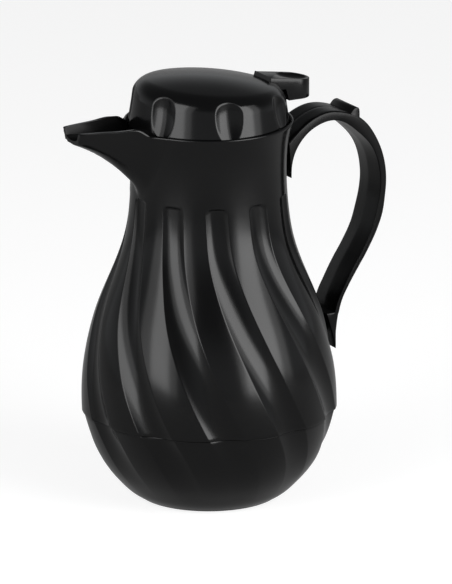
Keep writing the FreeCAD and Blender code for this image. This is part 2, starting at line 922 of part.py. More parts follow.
def make_foam_plug():
    """The plug that closes the foam's pouring hole, set in the foot's recess."""
    shank = D["plug_hole_radius"] - D["plug_gap"]
    return ring(
        "foam_plug",
        (NOTHING, D["foot_recess_depth"] - D["plug_flange"]),
        (D["plug_flange_radius"], D["foot_recess_depth"] - D["plug_flange"]),
        (D["plug_flange_radius"], D["foot_recess_depth"]),
        (shank, D["foot_recess_depth"]),
        (shank, D["foot_recess_depth"] + D["bowl_floor"]),
        (NOTHING, D["foot_recess_depth"] + D["bowl_floor"]),
    )


def liner_stations(inset=NOTHING):
    """Stations of the liner's wall, from the foot of its neck down to its floor."""
    neck = shell_inner("neck")[1] - D["foam_neck"] - inset
    belly = shell_inner("belly")[1] - D["foam_body"] - inset
    heel_height, heel_radius = bowl_inner("bowl_middle")
    return [
        (D["shoulder_height"], neck),
        (D["belly_height"], belly),
        (D["seam_height"], belly),
        (heel_height + inset, heel_radius - D["foam_body"] - inset),
        (D["liner_floor_height"] + inset, D["liner_floor_radius"] - inset),
    ]


def make_inner_liner():
    body = new_body("inner_liner")
    neck_length = liner_top - D["shoulder_height"]
    turned(body, "liner_outside", liner_stations(), lead=neck_length)
    sketch = new_sketch(body, "liner_flange_section", "XZ_Plane")
    polygon(
        sketch,
        *box_corners(
            liner_stations()[0][1] - D["liner_wall"], liner_top - D["liner_flange"],
            D["liner_flange_radius"], liner_top,
        ),
    )
    revolve(body, "liner_flange", sketch)
    turned(
        body, "liner_inside", liner_stations(D["liner_wall"]), "PartDesign::Groove",
        neck_length + D["overrun"],
    )
    return body


def make_liner_seal():
    return ring_box(
        "liner_seal", D["liner_seal_inner_radius"], D["cup_floor_height"],
        D["liner_flange_radius"], D["cup_floor_height"] + D["liner_seal_thickness"],
    )


def make_foam():
    """Foam that fills the space between the liner and the outer walls."""
    body = new_body("foam_insulation")
    walls = [(D["foam_top_height"], shell_inner("neck")[1])]
    walls += [shell_inner(name) for name in INSIDE[1:]]
    walls.append(bowl_inner("bowl_middle"))
    walls.append(
        (D["foot_recess_depth"] + D["bowl_floor"], D["bowl_edge_radius"] - D["bowl_wall"] / 2)
    )
    outside = [(height, radius - D["nest_gap"]) for height, radius in walls[:-1]]
    outside.append((walls[-1][0] + D["nest_gap"], walls[-1][1] - D["nest_gap"]))
    turned(body, "foam_outside", outside)
    turned(
        body, "foam_inside", liner_stations(-D["nest_gap"]), "PartDesign::Groove",
        D["foam_top_height"] - D["shoulder_height"] + D["overrun"],
    )
    sketch = new_sketch(body, "foam_seam_section", "XZ_Plane")
    polygon(
        sketch,
        *box_corners(
            tongue_radius - D["tongue_wall"] - D["nest_gap"],
            D["seam_height"] - D["tongue_root"] - D["nest_gap"],
            D["seam_radius"],
            D["seam_height"] + D["tongue_rise"] + D["nest_gap"],
        ),
    )
    revolve(body, "foam_seam", sketch, "PartDesign::Groove")
    return body


def handle_outline(sketch, strap, outer_draw, inner_draw):
    """Side view of the handle: outer curve, wedge with its ledge, inner curve and tail. The
    draws pull its outer and inner curves into the strap."""
    reach, rise = D["handle_reach"] - outer_draw, D["handle_top_height"] - outer_draw
    back, foot = D["handle_back"], D["handle_foot_height"]
    outer = [
        (between(back, reach, across), between(foot, rise, up))
        for across, up in HANDLE_OUTER_SHARES
    ]
    within = strap - inner_draw
    reach, rise = D["handle_reach"] - within, D["handle_top_height"] - within
    inner = [
        (between(back, reach, across), between(foot, rise, up))
        for across, up in HANDLE_INNER_SHARES
    ]
    ledge = (inner[0][0], D["handle_ledge_height"])
    draw_outline(
        sketch,
        outer[0],
        outer[1:],
        [(D["handle_ledge_reach"], D["handle_ledge_height"])],
        [ledge],
        inner[1:],
        [(back, D["handle_tail_height"])],
        [outer[0]],
    )


def handle_plies():
    """Offset from the middle plane, strap and draws of each outline that the loop joins."""
    half, strap = D["handle_half_width"], D["handle_strap"]
    side = [
        (
            half - D["handle_round"] * depth, strap, D["handle_round"] * draw,
            D["handle_inner_round"] * draw,
        )
        for depth, draw in ROUND_SHARES
    ]
    middle = (NOTHING, strap + D["handle_ridge"], NOTHING, NOTHING)
    other = [(-offset, strap, outer, inner) for offset, strap, outer, inner in reversed(side)]
    return side + [middle] + other


def make_handle():
    body = new_body("handle")
    sketches = []
    for index, (offset, strap, outer_draw, inner_draw) in enumerate(handle_plies()):
        sketch = new_sketch(body, "handle_outline_%d" % index, "XZ_Plane", offset)
        handle_outline(sketch, strap, outer_draw, inner_draw)
        sketches.append(sketch)
    loft(body, "handle_loop", sketches, ruled=True)
    sketch = new_sketch(body, "thumb_stop_outline", "XZ_Plane")
    stop = [
        (D["stop_reach"] - D["stop_length"] * back, D["stop_height"] - D["stop_drop"] * down)
        for back, down in STOP_SHARES
    ]
    polygon(sketch, *stop)
    extrude(body, "thumb_stop", sketch, D["handle_half_width"] * 2, midplane=True)
    for name, height, floor, seat, reach in handle_mounts():
        centre = (NOTHING, height)
        disc_add(
            body, name + "_boss", "YZ_Plane", floor, centre, D["boss_radius"], reach - floor
        )
        disc_cut(
            body, name + "_pilot", "YZ_Plane", floor, centre,
            D["handle_screw_radius"] + D["pin_gap"],
            D["handle_screw_length"] - D["boss_web"] + D["screw_gap"], back=True,
        )
    return body


def make_handle_screws():
    """The two screws, driven outwards from inside the shell into the handle's bosses."""
    screws = []
    for name, height, floor, seat, reach in handle_mounts():
        body = new_body(name + "_handle_screw")
        centre = (NOTHING, height)
        disc_add(
            body, name + "_screw_head", "YZ_Plane", seat, centre,
            D["handle_screw_head_radius"], D["handle_screw_head"], back=True,
        )
        disc_add(
            body, name + "_screw_shank", "YZ_Plane", seat, centre,
            D["handle_screw_radius"], D["handle_screw_length"],
        )
        screws.append(body)
    return group("handle_screws", screws)


def lid_form(body, name, inset):
    """The lid's domed form: a tapered skirt under a leaning crown, with a shoulder and
    finger scallops. The inset draws every surface in by that much. The crown's section is
    drawn under the ball that it turns to, which keeps the ball's seam clear of the lid."""
    skirt, taper = D["lid_skirt_radius"], D["lid_taper"]
    lean = D["lid_crown_lean"]
    bottom = D["lid_skirt_height"] - (D["overrun"] if inset is not NOTHING else NOTHING)
    crest = D["lid_crown_height"] + D["overrun"]
    foot_half = skirt + (D["lid_skirt_height"] - bottom) * tangent(taper)
    crest_half = skirt - (crest - D["lid_skirt_height"]) * tangent(taper)
    draw_in = inset / cosine(taper)
    sketch = new_sketch(body, name + "_cone_section", "XZ_Plane")
    polygon(
        sketch, (NOTHING, bottom), (foot_half - draw_in, bottom),
        (crest_half - draw_in, crest), (NOTHING, crest),
    )
    revolve(body, name + "_cone", sketch)
    radius = D["lid_crown_radius"] - inset
    middle = (-D["lid_crown_radius"] * sine(lean), D["lid_crown_height"] - D["lid_crown_radius"])
    span = skirt + skirt
    lift = square_root(radius * radius - span * span)
    below = middle[1] - radius - skirt
    near, far = middle[0] + span, middle[0] - span
    sketch = new_sketch(body, name + "_crown_section", "XZ_Plane")
    draw_outline(
        sketch,
        (near, middle[1] - lift),
        Turn((far, middle[1] - lift), radius, False),
        [(far, below)],
        [(near, below)],
        [(near, middle[1] - lift)],
    )
    add_axis(sketch, (far, middle[1]), (near, middle[1]))
    crown = revolve(body, name + "_crown", sketch, "PartDesign::Groove", "Axis0")
    doc.recompute()
    shoulder = edges_where(
        crown.Shape, lambda edge: edge.BoundBox.ZMin > D["slot_sill_height"].value
    )
    if inset is NOTHING:
        round_edges(body, name + "_shoulder", crown, shoulder, D["lid_shoulder_round"])
    else:
        bevel_edges(body, name + "_shoulder", crown, shoulder, D["lid_inner_bevel"])
    tilt = D["scallop_lean"]
    width = D["scallop_radius"] + inset
    centre = (
        D["scallop_inner_radius"] + D["scallop_radius"] / cosine(tilt), D["scallop_height"]
    )
    along = (-sine(tilt) * D["scallop_half_length"], cosine(tilt) * D["scallop_half_length"])
    inward = (-cosine(tilt) * width, -sine(tilt) * width)
    upper = (centre[0] + along[0], centre[1] + along[1])
    lower = (centre[0] - along[0], centre[1] - along[1])
    sketch = new_sketch(body, name + "_scallop_section", "XZ_Plane")
    polygon(
        sketch, lower, upper, (upper[0] + inward[0], upper[1] + inward[1]),
        (lower[0] + inward[0], lower[1] + inward[1]),
    )
    add_axis(sketch, lower, upper)
    scallop = revolve(body, name + "_scallop", sketch, "PartDesign::Groove", "Axis0")
    around(body, name + "_scallops", scallop, D["scallop_count"])


def screw_places():
    """The centres of the screws that join the deck to the cap."""
    step = as_size(360) / D["screw_count"]
    places = []
    for index in range(int(D["screw_count"].value)):
        angle = D["screw_first_angle"] + step * index
        places.append(
            (D["screw_circle_radius"] * cosine(angle), D["screw_circle_radius"] * sine(angle))
        )
    return places


def make_lid_cap():
    body = new_body("lid_cap")
    lid_form(body, "lid", NOTHING)
    hollow = new_body("lid_hollow")
    lid_form(hollow, "hollow", D["lid_wall"])
    for index, place in enumerate(screw_places()):
        disc_cut(
            hollow, "boss_%d" % index, "XY_Plane", cover_top, place, D["lid_boss_radius"],
            D["lid_crown_height"] - cover_top + D["overrun"], back=True,
        )
    doc.recompute()
    boolean = body.newObject("PartDesign::Boolean", "lid_opened")
    boolean.setObjects([hollow])
    boolean.Type = "Cut"
    for index, place in enumerate(screw_places()):
        disc_cut(
            body, "pilot_%d" % index, "XY_Plane", cover_top, place,
            D["lid_screw_radius"] + D["pin_gap"], D["lid_screw_bite"] + D["screw_gap"],
            back=True,
        )
    sketch = new_sketch(body, "slot_outline", "XY_Plane", D["slot_sill_height"])
    polygon(
        sketch,
        *box_corners(
            D["slot_start"], -D["slot_half_width"],
            D["lid_skirt_radius"] + D["overrun"], D["slot_half_width"],
        ),
    )
    extrude(
        body, "lever_slot", sketch, D["lid_crown_height"] - D["slot_sill_height"],
        "PartDesign::Pocket", back=True,
    )
    return body


def make_stopper_body():
    """Stopper: a plug with the valve hole in its floor, a flange, and an upper wall with
    the pouring port towards the spout."""
    floor_top = D["stopper_floor_height"] + D["stopper_floor"]
    flange_top = D["stopper_flange_height"] + D["stopper_flange"]
    wall_top = D["cover_height"] - D["cover_seal_thickness"]
    inner, upper = D["stopper_radius"] - D["stopper_wall"], D["stopper_upper_radius"]
    body = ring(
        "stopper_body",
        (D["valve_hole_radius"], D["stopper_floor_height"]),
        (D["stopper_radius"], D["stopper_floor_height"]),
        (D["stopper_radius"], D["stopper_flange_height"]),
        (D["stopper_flange_radius"], D["stopper_flange_height"]),
        (D["stopper_flange_radius"], flange_top),
        (upper, flange_top),
        (upper, wall_top),
        (upper - D["stopper_wall"], wall_top),
        (upper - D["stopper_wall"], flange_top),
        (inner, flange_top),
        (inner, floor_top),
        (D["valve_hole_radius"], floor_top),
    )
    sketch = new_sketch(body, "port_outline", "XY_Plane", flange_top)
    polygon(
        sketch,
        *box_corners(
            -(upper + D["overrun"]), -D["port_half_width"], -D["guide_radius"],
            D["port_half_width"],
        ),
    )
    extrude(
        body, "port", sketch, D["port_top_height"] - flange_top, "PartDesign::Pocket", back=True
    )
    return body


def make_stopper_gasket():
    return ring_box(
        "stopper_gasket", D["gasket_inner_radius"], liner_top, D["stopper_flange_radius"],
        D["stopper_flange_height"],
    )


def make_cover_seal():
    return ring_box(
        "cover_seal", D["stopper_upper_radius"] - D["stopper_wall"],
        D["cover_height"] - D["cover_seal_thickness"], D["stopper_upper_radius"],
        D["cover_height"],
    )


def make_stopper_cover():
    """Deck of the stopper with the stem's guide, its seal's pocket and the lever's ears."""
    bore = D["stem_radius"] + D["stem_gap"]
    body = ring(
        "stopper_cover",
        (bore, D["cover_height"] - D["guide_length"]),
        (D["guide_radius"], D["cover_height"] - D["guide_length"]),
        (D["guide_radius"], D["cover_height"]),
        (D["cover_radius"], D["cover_height"]),
        (D["cover_radius"], cover_top),
        (D["stem_seal_radius"], cover_top),
        (D["stem_seal_radius"], cover_top - D["stem_seal_thickness"]),
        (bore, cover_top - D["stem_seal_thickness"]),
    )
    inner = D["lever_half_width"] + D["ear_gap"]
    pivot = (D["pivot_reach"], D["pivot_height"])
    for side, offset, back in (("near", inner, False), ("far", -inner, True)):
        sketch = new_sketch(body, side + "_ear_outline", "XZ_Plane", offset)
        polygon(
            sketch,
            *box_corners(
                pivot[0] - D["ear_radius"], cover_top, pivot[0] + D["ear_radius"], pivot[1]
            ),
        )
        extrude(body, side + "_ear", sketch, D["ear_thickness"], back=back)
        disc_add(
            body, side + "_ear_top", "XZ_Plane", offset, pivot, D["ear_radius"],
            D["ear_thickness"], back=back,
        )
        disc_cut(
            body, side + "_ear_hole", "XZ_Plane", offset, pivot,
            D["pin_radius"] + D["pin_gap"], D["ear_thickness"], back=not back,
        )
    for index, place in enumerate(screw_places()):
        disc_cut(
            body, "deck_hole_%d" % index, "XY_Plane", cover_top, place,
            D["lid_screw_radius"] + D["screw_gap"], D["cover_thickness"],
        )
    return body


def make_lid_screws():
    screws = []
    for index, place in enumerate(screw_places()):
        body = new_body("lid_screw_%d" % index)
        disc_add(
            body, "lid_screw_head_%d" % index, "XY_Plane", D["cover_height"], place,
            D["lid_screw_head_radius"], D["lid_screw_head"], back=True,
        )
        disc_add(
            body, "lid_screw_shank_%d" % index, "XY_Plane", D["cover_height"], place,
            D["lid_screw_radius"], D["cover_thickness"] + D["lid_screw_bite"],
        )
        screws.append(body)
    return group("lid_screws", screws)


def rounded_tongue(sketch, start, end, half):
    """Plan of a tongue with a half round end, drawn as two quarter turns."""
    shoulder = end - half
    draw_outline(
        sketch,
        (start, half),
        [(start, -half)],
        [(shoulder, -half)],
        Turn((end, NOTHING), half, True),
        Turn((shoulder, half), half, True),
        [(start, half)],
    )


def pad_top(reach):
    """Height of the pad's sloping top at a reach from the lid's axis."""
    slope = (D["pad_root_height"] - D["pad_end_height"]) / (D["pad_end_reach"] - D["pad_root_reach"])
    return D["pad_root_height"] - slope * (reach - D["pad_root_reach"])


def make_thumb_lever():
    """Lever: a dished thumb pad with a hollow lip, a hub on the pin, and a forked arm."""
    body = new_body("thumb_lever")
    hub = (D["pivot_reach"], D["pivot_height"])
    base = D["lip_height"]
    top = D["pad_root_height"]
    sketch = new_sketch(body, "pad_plan", "XY_Plane", base)
    rounded_tongue(sketch, hub[0], D["pad_end_reach"], D["lever_half_width"])
    extrude(body, "pad", sketch, top - base)
    over = D["overrun"]
    sketch = new_sketch(body, "pad_side", "XZ_Plane")
    polygon(
        sketch,
        (hub[0] - over, D["pad_under_height"]),
        (D["pad_root_reach"], D["pad_under_height"]),
        (D["pad_root_reach"], top),
        (D["pad_end_reach"] + over, pad_top(D["pad_end_reach"] + over)),
        (D["pad_end_reach"] + over, top + over),
        (hub[0] - over, top + over),
    )
    extrude(
        body, "pad_trim", sketch, (D["lever_half_width"] + over) * 2, "PartDesign::Pocket", midplane=True
    )
    sketch = new_sketch(body, "gap_side", "XZ_Plane")
    polygon(
        sketch,
        (hub[0] + D["hub_radius"], base - over),
        (D["lip_reach"], base - over),
        (D["lip_reach"], base),
        (D["lip_reach"] - D["lip_slant"], D["pad_under_height"]),
        (D["pad_under_reach"], D["pad_under_height"]),
        (hub[0] + D["hub_radius"], D["pivot_height"]),
    )
    extrude(
        body, "pad_gap", sketch, (D["lever_half_width"] + over) * 2, "PartDesign::Pocket", midplane=True
    )
    disc = new_sketch(body, "hub_circle", "XZ_Plane")
    add_circle(disc, D["hub_radius"], hub)
    extrude(body, "hub", disc, D["lever_half_width"] * 2, midplane=True)
    sketch = new_sketch(
        body, "arm_plan", "XY_Plane", D["pivot_height"] - D["arm_thickness"] / 2
    )
    half, slot = D["lever_arm_half_width"], D["stem_radius"] + D["fork_gap"]
    tip = -D["arm_tip_reach"]
    polygon(
        sketch, (tip, slot), (slot, slot), (slot, -slot), (tip, -slot), (tip, -half),
        (hub[0], -half), (hub[0], half), (tip, half),
    )
    extrude(body, "arm", sketch, D["arm_thickness"])
    sketch = new_sketch(body, "lip_plan", "XY_Plane", base)
    rounded_tongue(
        sketch, D["lip_reach"] + D["lip_wall"], D["pad_end_reach"] - D["lip_wall"],
        D["lever_half_width"] - D["lip_wall"],
    )
    ceiling = pad_top(D["dish_reach"]) - D["dish_depth"] - D["lip_wall"]
    extrude(body, "lip_hollow", sketch, ceiling - base, "PartDesign::Pocket", back=True)
    sketch = new_sketch(body, "dish_section", "XZ_Plane")
    reach, radius = D["dish_reach"], D["dish_radius"]
    centre = pad_top(reach) - D["dish_depth"] + radius
    draw_outline(
        sketch,
        (reach + radius, centre),
        Turn((reach, centre + radius), radius, True),
        Turn((reach - radius, centre), radius, True),
        [(reach + radius, centre)],
    )
    add_axis(sketch, (reach - radius, centre), (reach + radius, centre))
    revolve(body, "dish", sketch, "PartDesign::Groove", "Axis0")
    hole = new_sketch(body, "pin_hole_circle", "XZ_Plane")
    add_circle(hole, D["pin_radius"] + D["pin_gap"], hub)
    extrude(
        body, "pin_hole", hole, (D["lever_half_width"] + over) * 2, "PartDesign::Pocket", midplane=True
    )
    return body


def make_lever_pin():
    body = new_body("lever_pin")
    sketch = new_sketch(body, "pin_circle", "XZ_Plane")
    add_circle(sketch, D["pin_radius"], (D["pivot_reach"], D["pivot_height"]))
    length = (D["lever_half_width"] + D["ear_gap"] + D["ear_thickness"]) * 2
    extrude(body, "pin", sketch, length, midplane=True)
    return body


def make_valve():
    """The pouring valve: stem with a foot, rubber seal, plug, spring sleeve, the seal on
    the stem and the nut that the lever's fork lifts."""
    seat = D["stopper_floor_height"] + D["stopper_floor"] + D["seal_seat_gap"]
    seal_top = seat + D["seal_thickness"]
    plug_top = seal_top + D["plug_thickness"]
    bore = D["stem_radius"] + D["stem_gap"]
    nut_base = D["pivot_height"] + D["arm_thickness"] / 2 + D["lift_gap"]
    stem_top = nut_base + D["nut_thickness"] + D["stem_end"]
    stem = ring(
        "valve_stem",
        (NOTHING, seat - D["stem_foot"]),
        (D["stem_foot_radius"], seat - D["stem_foot"]),
        (D["stem_foot_radius"], seat),
        (D["stem_radius"], seat),
        (D["stem_radius"], stem_top),
        (NOTHING, stem_top),
    )
    return [
        stem,
        ring_box("valve_seal", bore, seat, D["seal_radius"], seal_top),
        ring_box("valve_plug", bore, seal_top, D["plug_radius"], plug_top),
        ring_box(
            "valve_spring", D["spring_radius"] - D["spring_wire"],
            plug_top + D["spring_seat_gap"], D["spring_radius"],
            D["cover_height"] - D["spring_seat_gap"],
        ),
        ring_box(
            "stem_seal", bore, cover_top - D["stem_seal_thickness"],
            D["stem_seal_radius"] - D["stem_gap"], cover_top,
        ),
        ring_box(
            "lifting_nut", bore, nut_base, D["nut_radius"], nut_base + D["nut_thickness"]
        ),
    ]


def check(parts):
    """Stop if any object failed or any part isn't a valid solid."""
    for thing in doc.Objects:
        if "Invalid" in thing.State or "Error" in thing.State:
            raise RuntimeError("%s failed: %s" % (thing.Name, thing.State))
    for part in parts:
        if part.Shape.isNull() or not part.Shape.isValid() or not part.Shape.Solids:
            raise RuntimeError("%s has no valid shape" % part.Label)


bowl_top_height = D["seam_height"] - D["seam_gap"]
bowl_top_radius = D["seam_radius"] - D["seam_step"]
tongue_radius = shell_inner("seam")[1] - D["nest_gap"] * 2
liner_top = D["cup_floor_height"] + D["liner_seal_thickness"] + D["liner_flange"]
cover_top = D["cover_height"] + D["cover_thickness"]

parts = [
    make_outer_shell(),
    make_base_bowl(),
    make_foam_plug(),
    make_foam(),
    make_inner_liner(),
    make_liner_seal(),
    make_handle(),
    make_handle_screws(),
    make_stopper_gasket(),
    make_stopper_body(),
    make_stopper_cover(),
    make_cover_seal(),
    make_lid_cap(),
    make_lid_screws(),
    make_thumb_lever(),
    make_lever_pin(),
]
parts += make_valve()
doc.recompute()
check(parts)
os.makedirs("parts", exist_ok=True)
for part in parts:
    part.Shape.exportStep("parts/%s.step" % part.Label)
    print(part.Label, len(part.Shape.Solids), round(part.Shape.Volume), len(part.Shape.Faces))
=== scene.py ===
"""Looks of the thermal jug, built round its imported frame."""

import logging
import math
from dataclasses import dataclass
from enum import Enum
from typing import Sequence

import bmesh
import bpy
import numpy as np
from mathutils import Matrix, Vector


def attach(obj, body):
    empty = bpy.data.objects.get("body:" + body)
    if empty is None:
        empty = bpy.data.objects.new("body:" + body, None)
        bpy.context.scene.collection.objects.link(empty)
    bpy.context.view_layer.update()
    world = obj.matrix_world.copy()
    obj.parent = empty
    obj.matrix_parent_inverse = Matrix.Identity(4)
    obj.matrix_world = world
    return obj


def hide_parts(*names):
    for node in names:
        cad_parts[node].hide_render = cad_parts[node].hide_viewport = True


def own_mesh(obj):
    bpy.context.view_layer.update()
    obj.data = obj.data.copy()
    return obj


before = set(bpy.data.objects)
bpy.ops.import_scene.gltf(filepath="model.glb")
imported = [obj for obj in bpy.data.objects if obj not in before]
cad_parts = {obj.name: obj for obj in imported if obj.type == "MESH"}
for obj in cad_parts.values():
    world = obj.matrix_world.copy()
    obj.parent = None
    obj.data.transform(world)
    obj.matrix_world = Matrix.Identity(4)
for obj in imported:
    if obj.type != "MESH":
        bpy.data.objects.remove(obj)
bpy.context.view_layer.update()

LOG = logging.getLogger("thermal_jug")
MM = 0.001
Point = tuple[float, float]
Span = tuple[float, float]
Materials = dict[str, bpy.types.Material]


class Body(Enum):
    """Moving bodies that the pieces ride on."""

    JUG = "jug"
    LID = "lid"
    LEVER = "lever"


# Curves and meshes


def smooth_curve(xs: Sequence[float], ys: Sequence[float], at: np.ndarray) -> np.ndarray:
    """Read a natural cubic curve through given points.

    Args:
        xs: places of the points, in rising order.
        ys: values at those places.
        at: places to read.

    Returns:
        The curve's value at each place.
    """
    x, y = np.asarray(xs, float), np.asarray(ys, float)
    steps = np.diff(x)
    count = len(x)
    system = np.eye(count)
    right = np.zeros(count)
    for i in range(1, count - 1):
        system[i, i - 1] = steps[i - 1]
        system[i, i] = 2 * (steps[i - 1] + steps[i])
        system[i, i + 1] = steps[i]
        right[i] = 6 * ((y[i + 1] - y[i]) / steps[i] - (y[i] - y[i - 1]) / steps[i - 1])
    bend = np.linalg.solve(system, right)
    at = np.clip(np.asarray(at, float), x[0], x[-1])
    i = np.clip(np.searchsorted(x, at) - 1, 0, count - 2)
    left, gone, span = x[i + 1] - at, at - x[i], steps[i]
    return (
        bend[i] * left**3 / (6 * span)
        + bend[i + 1] * gone**3 / (6 * span)
        + (y[i] / span - bend[i] * span / 6) * left
        + (y[i + 1] / span - bend[i + 1] * span / 6) * gone
    )


def pole_curve(poles: Sequence[Point], count: int) -> np.ndarray:
    """Sample a clamped cubic spline of the given poles.

    Args:
        poles: control points, the first and last of which it meets.
        count: number of samples.

    Returns:
        The samples, one row each.
    """
    points = np.asarray(poles, float)
    degree = 3
    spans = len(points) - degree
    knots = np.concatenate([np.zeros(degree), np.linspace(0, 1, spans + 1), np.ones(degree)])
    samples = []
    for place in np.linspace(0, 1, count):
        span = min(int(place * spans), spans - 1) + degree
        worked = [points[j + span - degree].copy() for j in range(degree + 1)]
        for level in range(1, degree + 1):
            for j in range(degree, level - 1, -1):
                low = knots[j + span - degree]
                high = knots[j + 1 + span - level]
                share = (place - low) / (high - low)
                worked[j] = (1 - share) * worked[j - 1] + share * worked[j]
        samples.append(worked[degree])
    return np.array(samples)


def even_points(path: np.ndarray, count: int) -> np.ndarray:
    """Spread points evenly along a path of straight runs.

    Args:
        path: the path's corners, one row each.
        count: number of points.

    Returns:
        The points, one row each.
    """
    run = np.concatenate([[0], np.cumsum(np.linalg.norm(np.diff(path, axis=0), axis=1))])
    places = np.linspace(0, run[-1], count)
    return np.stack([np.interp(places, run, path[:, k]) for k in range(path.shape[1])], axis=1)


def ease(value: np.ndarray) -> np.ndarray:
    """A smooth step from 0 to 1."""
    share = np.clip(value, 0, 1)
    return share * share * (3 - 2 * share)


def make_object(
    name: str, vertices: np.ndarray, faces: Sequence[Sequence[int]]
) -> bpy.types.Object:
    """Make a mesh object at the origin.

    Args:
        name: the piece's name.
        vertices: points in metres.
        faces: vertex numbers of each face.

    Returns:
        The new object, linked to the scene.
    """
    mesh = bpy.data.meshes.new(name)
    corners = [tuple(map(float, v)) for v in vertices]
    mesh.from_pydata(corners, [], [list(map(int, f)) for f in faces])
    mesh.validate()
    obj = bpy.data.objects.new(name, mesh)
    bpy.context.scene.collection.objects.link(obj)
    return obj


def grid_faces(rows: int, columns: int, round_rows: bool = False) -> list[list[int]]:
    """Faces of a grid whose columns close on themselves.

    Args:
        rows: number of rows.
        columns: number of points in a row.
        round_rows: whether the last row joins the first.

    Returns:
        Vertex numbers of each quad.
    """
    faces = []
    for i in range(rows if round_rows else rows - 1):
        below = i * columns
        above = ((i + 1) % rows) * columns
        for j in range(columns):
            k = (j + 1) % columns
            faces.append([below + j, below + k, above + k, above + j])
    return faces


def turned_mesh(name: str, profile: Sequence[Point], columns: int) -> bpy.types.Object:
    """Turn a profile that starts and ends on the vertical axis about that axis.

    Args:
        name: the piece's name.
        profile: radius and height of each corner in millimetres.
        columns: steps round the axis.

    Returns:
        The closed, turned object. Corners on the axis become one point.
    """
    angles = np.linspace(0, 2 * math.pi, columns, endpoint=False)
    vertices: list[tuple[float, float, float]] = []
    rings: list[list[int]] = []
    for radius, height in profile:
        if radius < 1e-6:
            vertices.append((0.0, 0.0, height * MM))
            rings.append([len(vertices) - 1] * columns)
            continue
        start = len(vertices)
        vertices += [
            (radius * math.cos(a) * MM, radius * math.sin(a) * MM, height * MM) for a in angles
        ]
        rings.append(list(range(start, start + columns)))
    faces = []
    for low, high in zip(rings, rings[1:]):
        for j in range(columns):
            k = (j + 1) % columns
            face = list(dict.fromkeys([low[j], low[k], high[k], high[j]]))
            if len(face) > 2:
                faces.append(face)
    obj = make_object(name, np.array(vertices), faces)
    point_outwards(obj)
    return obj


def prism(
    name: str, outline: Sequence[Point], low: float, high: float, upright: bool
) -> bpy.types.Object:
    """Extrude an outline given in millimetres.

    Args:
        name: the piece's name.
        outline: corners, as (x, y) for an upright prism and (x, z) otherwise.
        low: first end along the axis.
        high: second end along the axis.
        upright: whether the prism's axis is Z, and not Y.

    Returns:
        The closed prism.
    """
    vertices = []
    for end in (low, high):
        for across, up in outline:
            vertices.append((across, up, end) if upright else (across, end, up))
    count = len(outline)
    faces = [[j, (j + 1) % count, count + (j + 1) % count, count + j] for j in range(count)]
    faces.append(list(range(count)))
    faces.append(list(range(2 * count - 1, count - 1, -1)))
    obj = make_object(name, np.array(vertices) * MM, faces)
    point_outwards(obj)
    return obj


def point_outwards(obj: bpy.types.Object) -> None:
    """Turn the faces of a closed mesh outwards.

    Args:
        obj: the piece, whose doubles are merged first.
    """
    work = bmesh.new()
    work.from_mesh(obj.data)
    bmesh.ops.remove_doubles(work, verts=work.verts, dist=1e-7)
    bmesh.ops.recalc_face_normals(work, faces=work.faces)
    if work.calc_volume(signed=True) < 0:
        bmesh.ops.reverse_faces(work, faces=work.faces)
    work.to_mesh(obj.data)
    work.free()


def settle(obj: bpy.types.Object) -> bpy.types.Object:
    """Turn an object and its modifiers into a plain mesh.

    Args:
        obj: the object.

    Returns:
        The same object, without modifiers.
    """
    graph = bpy.context.evaluated_depsgraph_get()
    mesh = bpy.data.meshes.new_from_object(obj.evaluated_get(graph))
    obj.modifiers.clear()
    old = obj.data
    obj.data = mesh
    bpy.data.meshes.remove(old)
    mesh.name = obj.name
    return obj


def cut(obj: bpy.types.Object, cutter: bpy.types.Object, keep: bool = False) -> None:
    """Cut one closed mesh out of another, or add it.

    Args:
        obj: the piece that is changed.
        cutter: the other mesh, which is removed.
        keep: whether the other mesh is added instead.
    """
    step = obj.modifiers.new("cut", "BOOLEAN")
    step.operation = "UNION" if keep else "DIFFERENCE"
    step.solver = "EXACT"
    step.object = cutter
    settle(obj)
    bpy.data.objects.remove(cutter)


def shade(obj: bpy.types.Object, sharp_degrees: float = 34.0) -> None:
    """Shade a mesh smooth, apart from its sharp edges."""
    obj.data.polygons.foreach_set("use_smooth", [True] * len(obj.data.polygons))
    obj.data.set_sharp_from_angle(angle=math.radians(sharp_degrees))


def soften(obj: bpy.types.Object, width: float, segments: int = 3, degrees: float = 30.0) -> None:
    """Round the sharp edges of a plain mesh by a width in millimetres.

    Args:
        obj: the piece.
        width: how far the rounding reaches from an edge.
        segments: its number of steps.
        degrees: the least angle of an edge that is rounded.
    """
    step = obj.modifiers.new("soft_edges", "BEVEL")
    step.width = width * MM
    step.segments = segments
    step.limit_method = "ANGLE"
    step.angle_limit = math.radians(degrees)
    step.harden_normals = False
    settle(obj)


def finish_piece(
    obj: bpy.types.Object, body: Body, material: bpy.types.Material, slot: str, *nodes: str
) -> None:
    """Dress a piece and set it on its body.

    Args:
        obj: the piece.
        body: the body that it rides on.
        material: its finish.
        slot: name of a material slot; not used.
        nodes: CAD nodes that it stands for.
    """
    obj.data.materials.clear()
    obj.data.materials.append(material)
    obj.data.polygons.foreach_set("material_index", [0] * len(obj.data.polygons))
    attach(obj, body.value)
    if nodes:
        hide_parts(*nodes)
    LOG.info("%s: %d faces on %s", obj.name, len(obj.data.polygons), body.value)


# Finishes


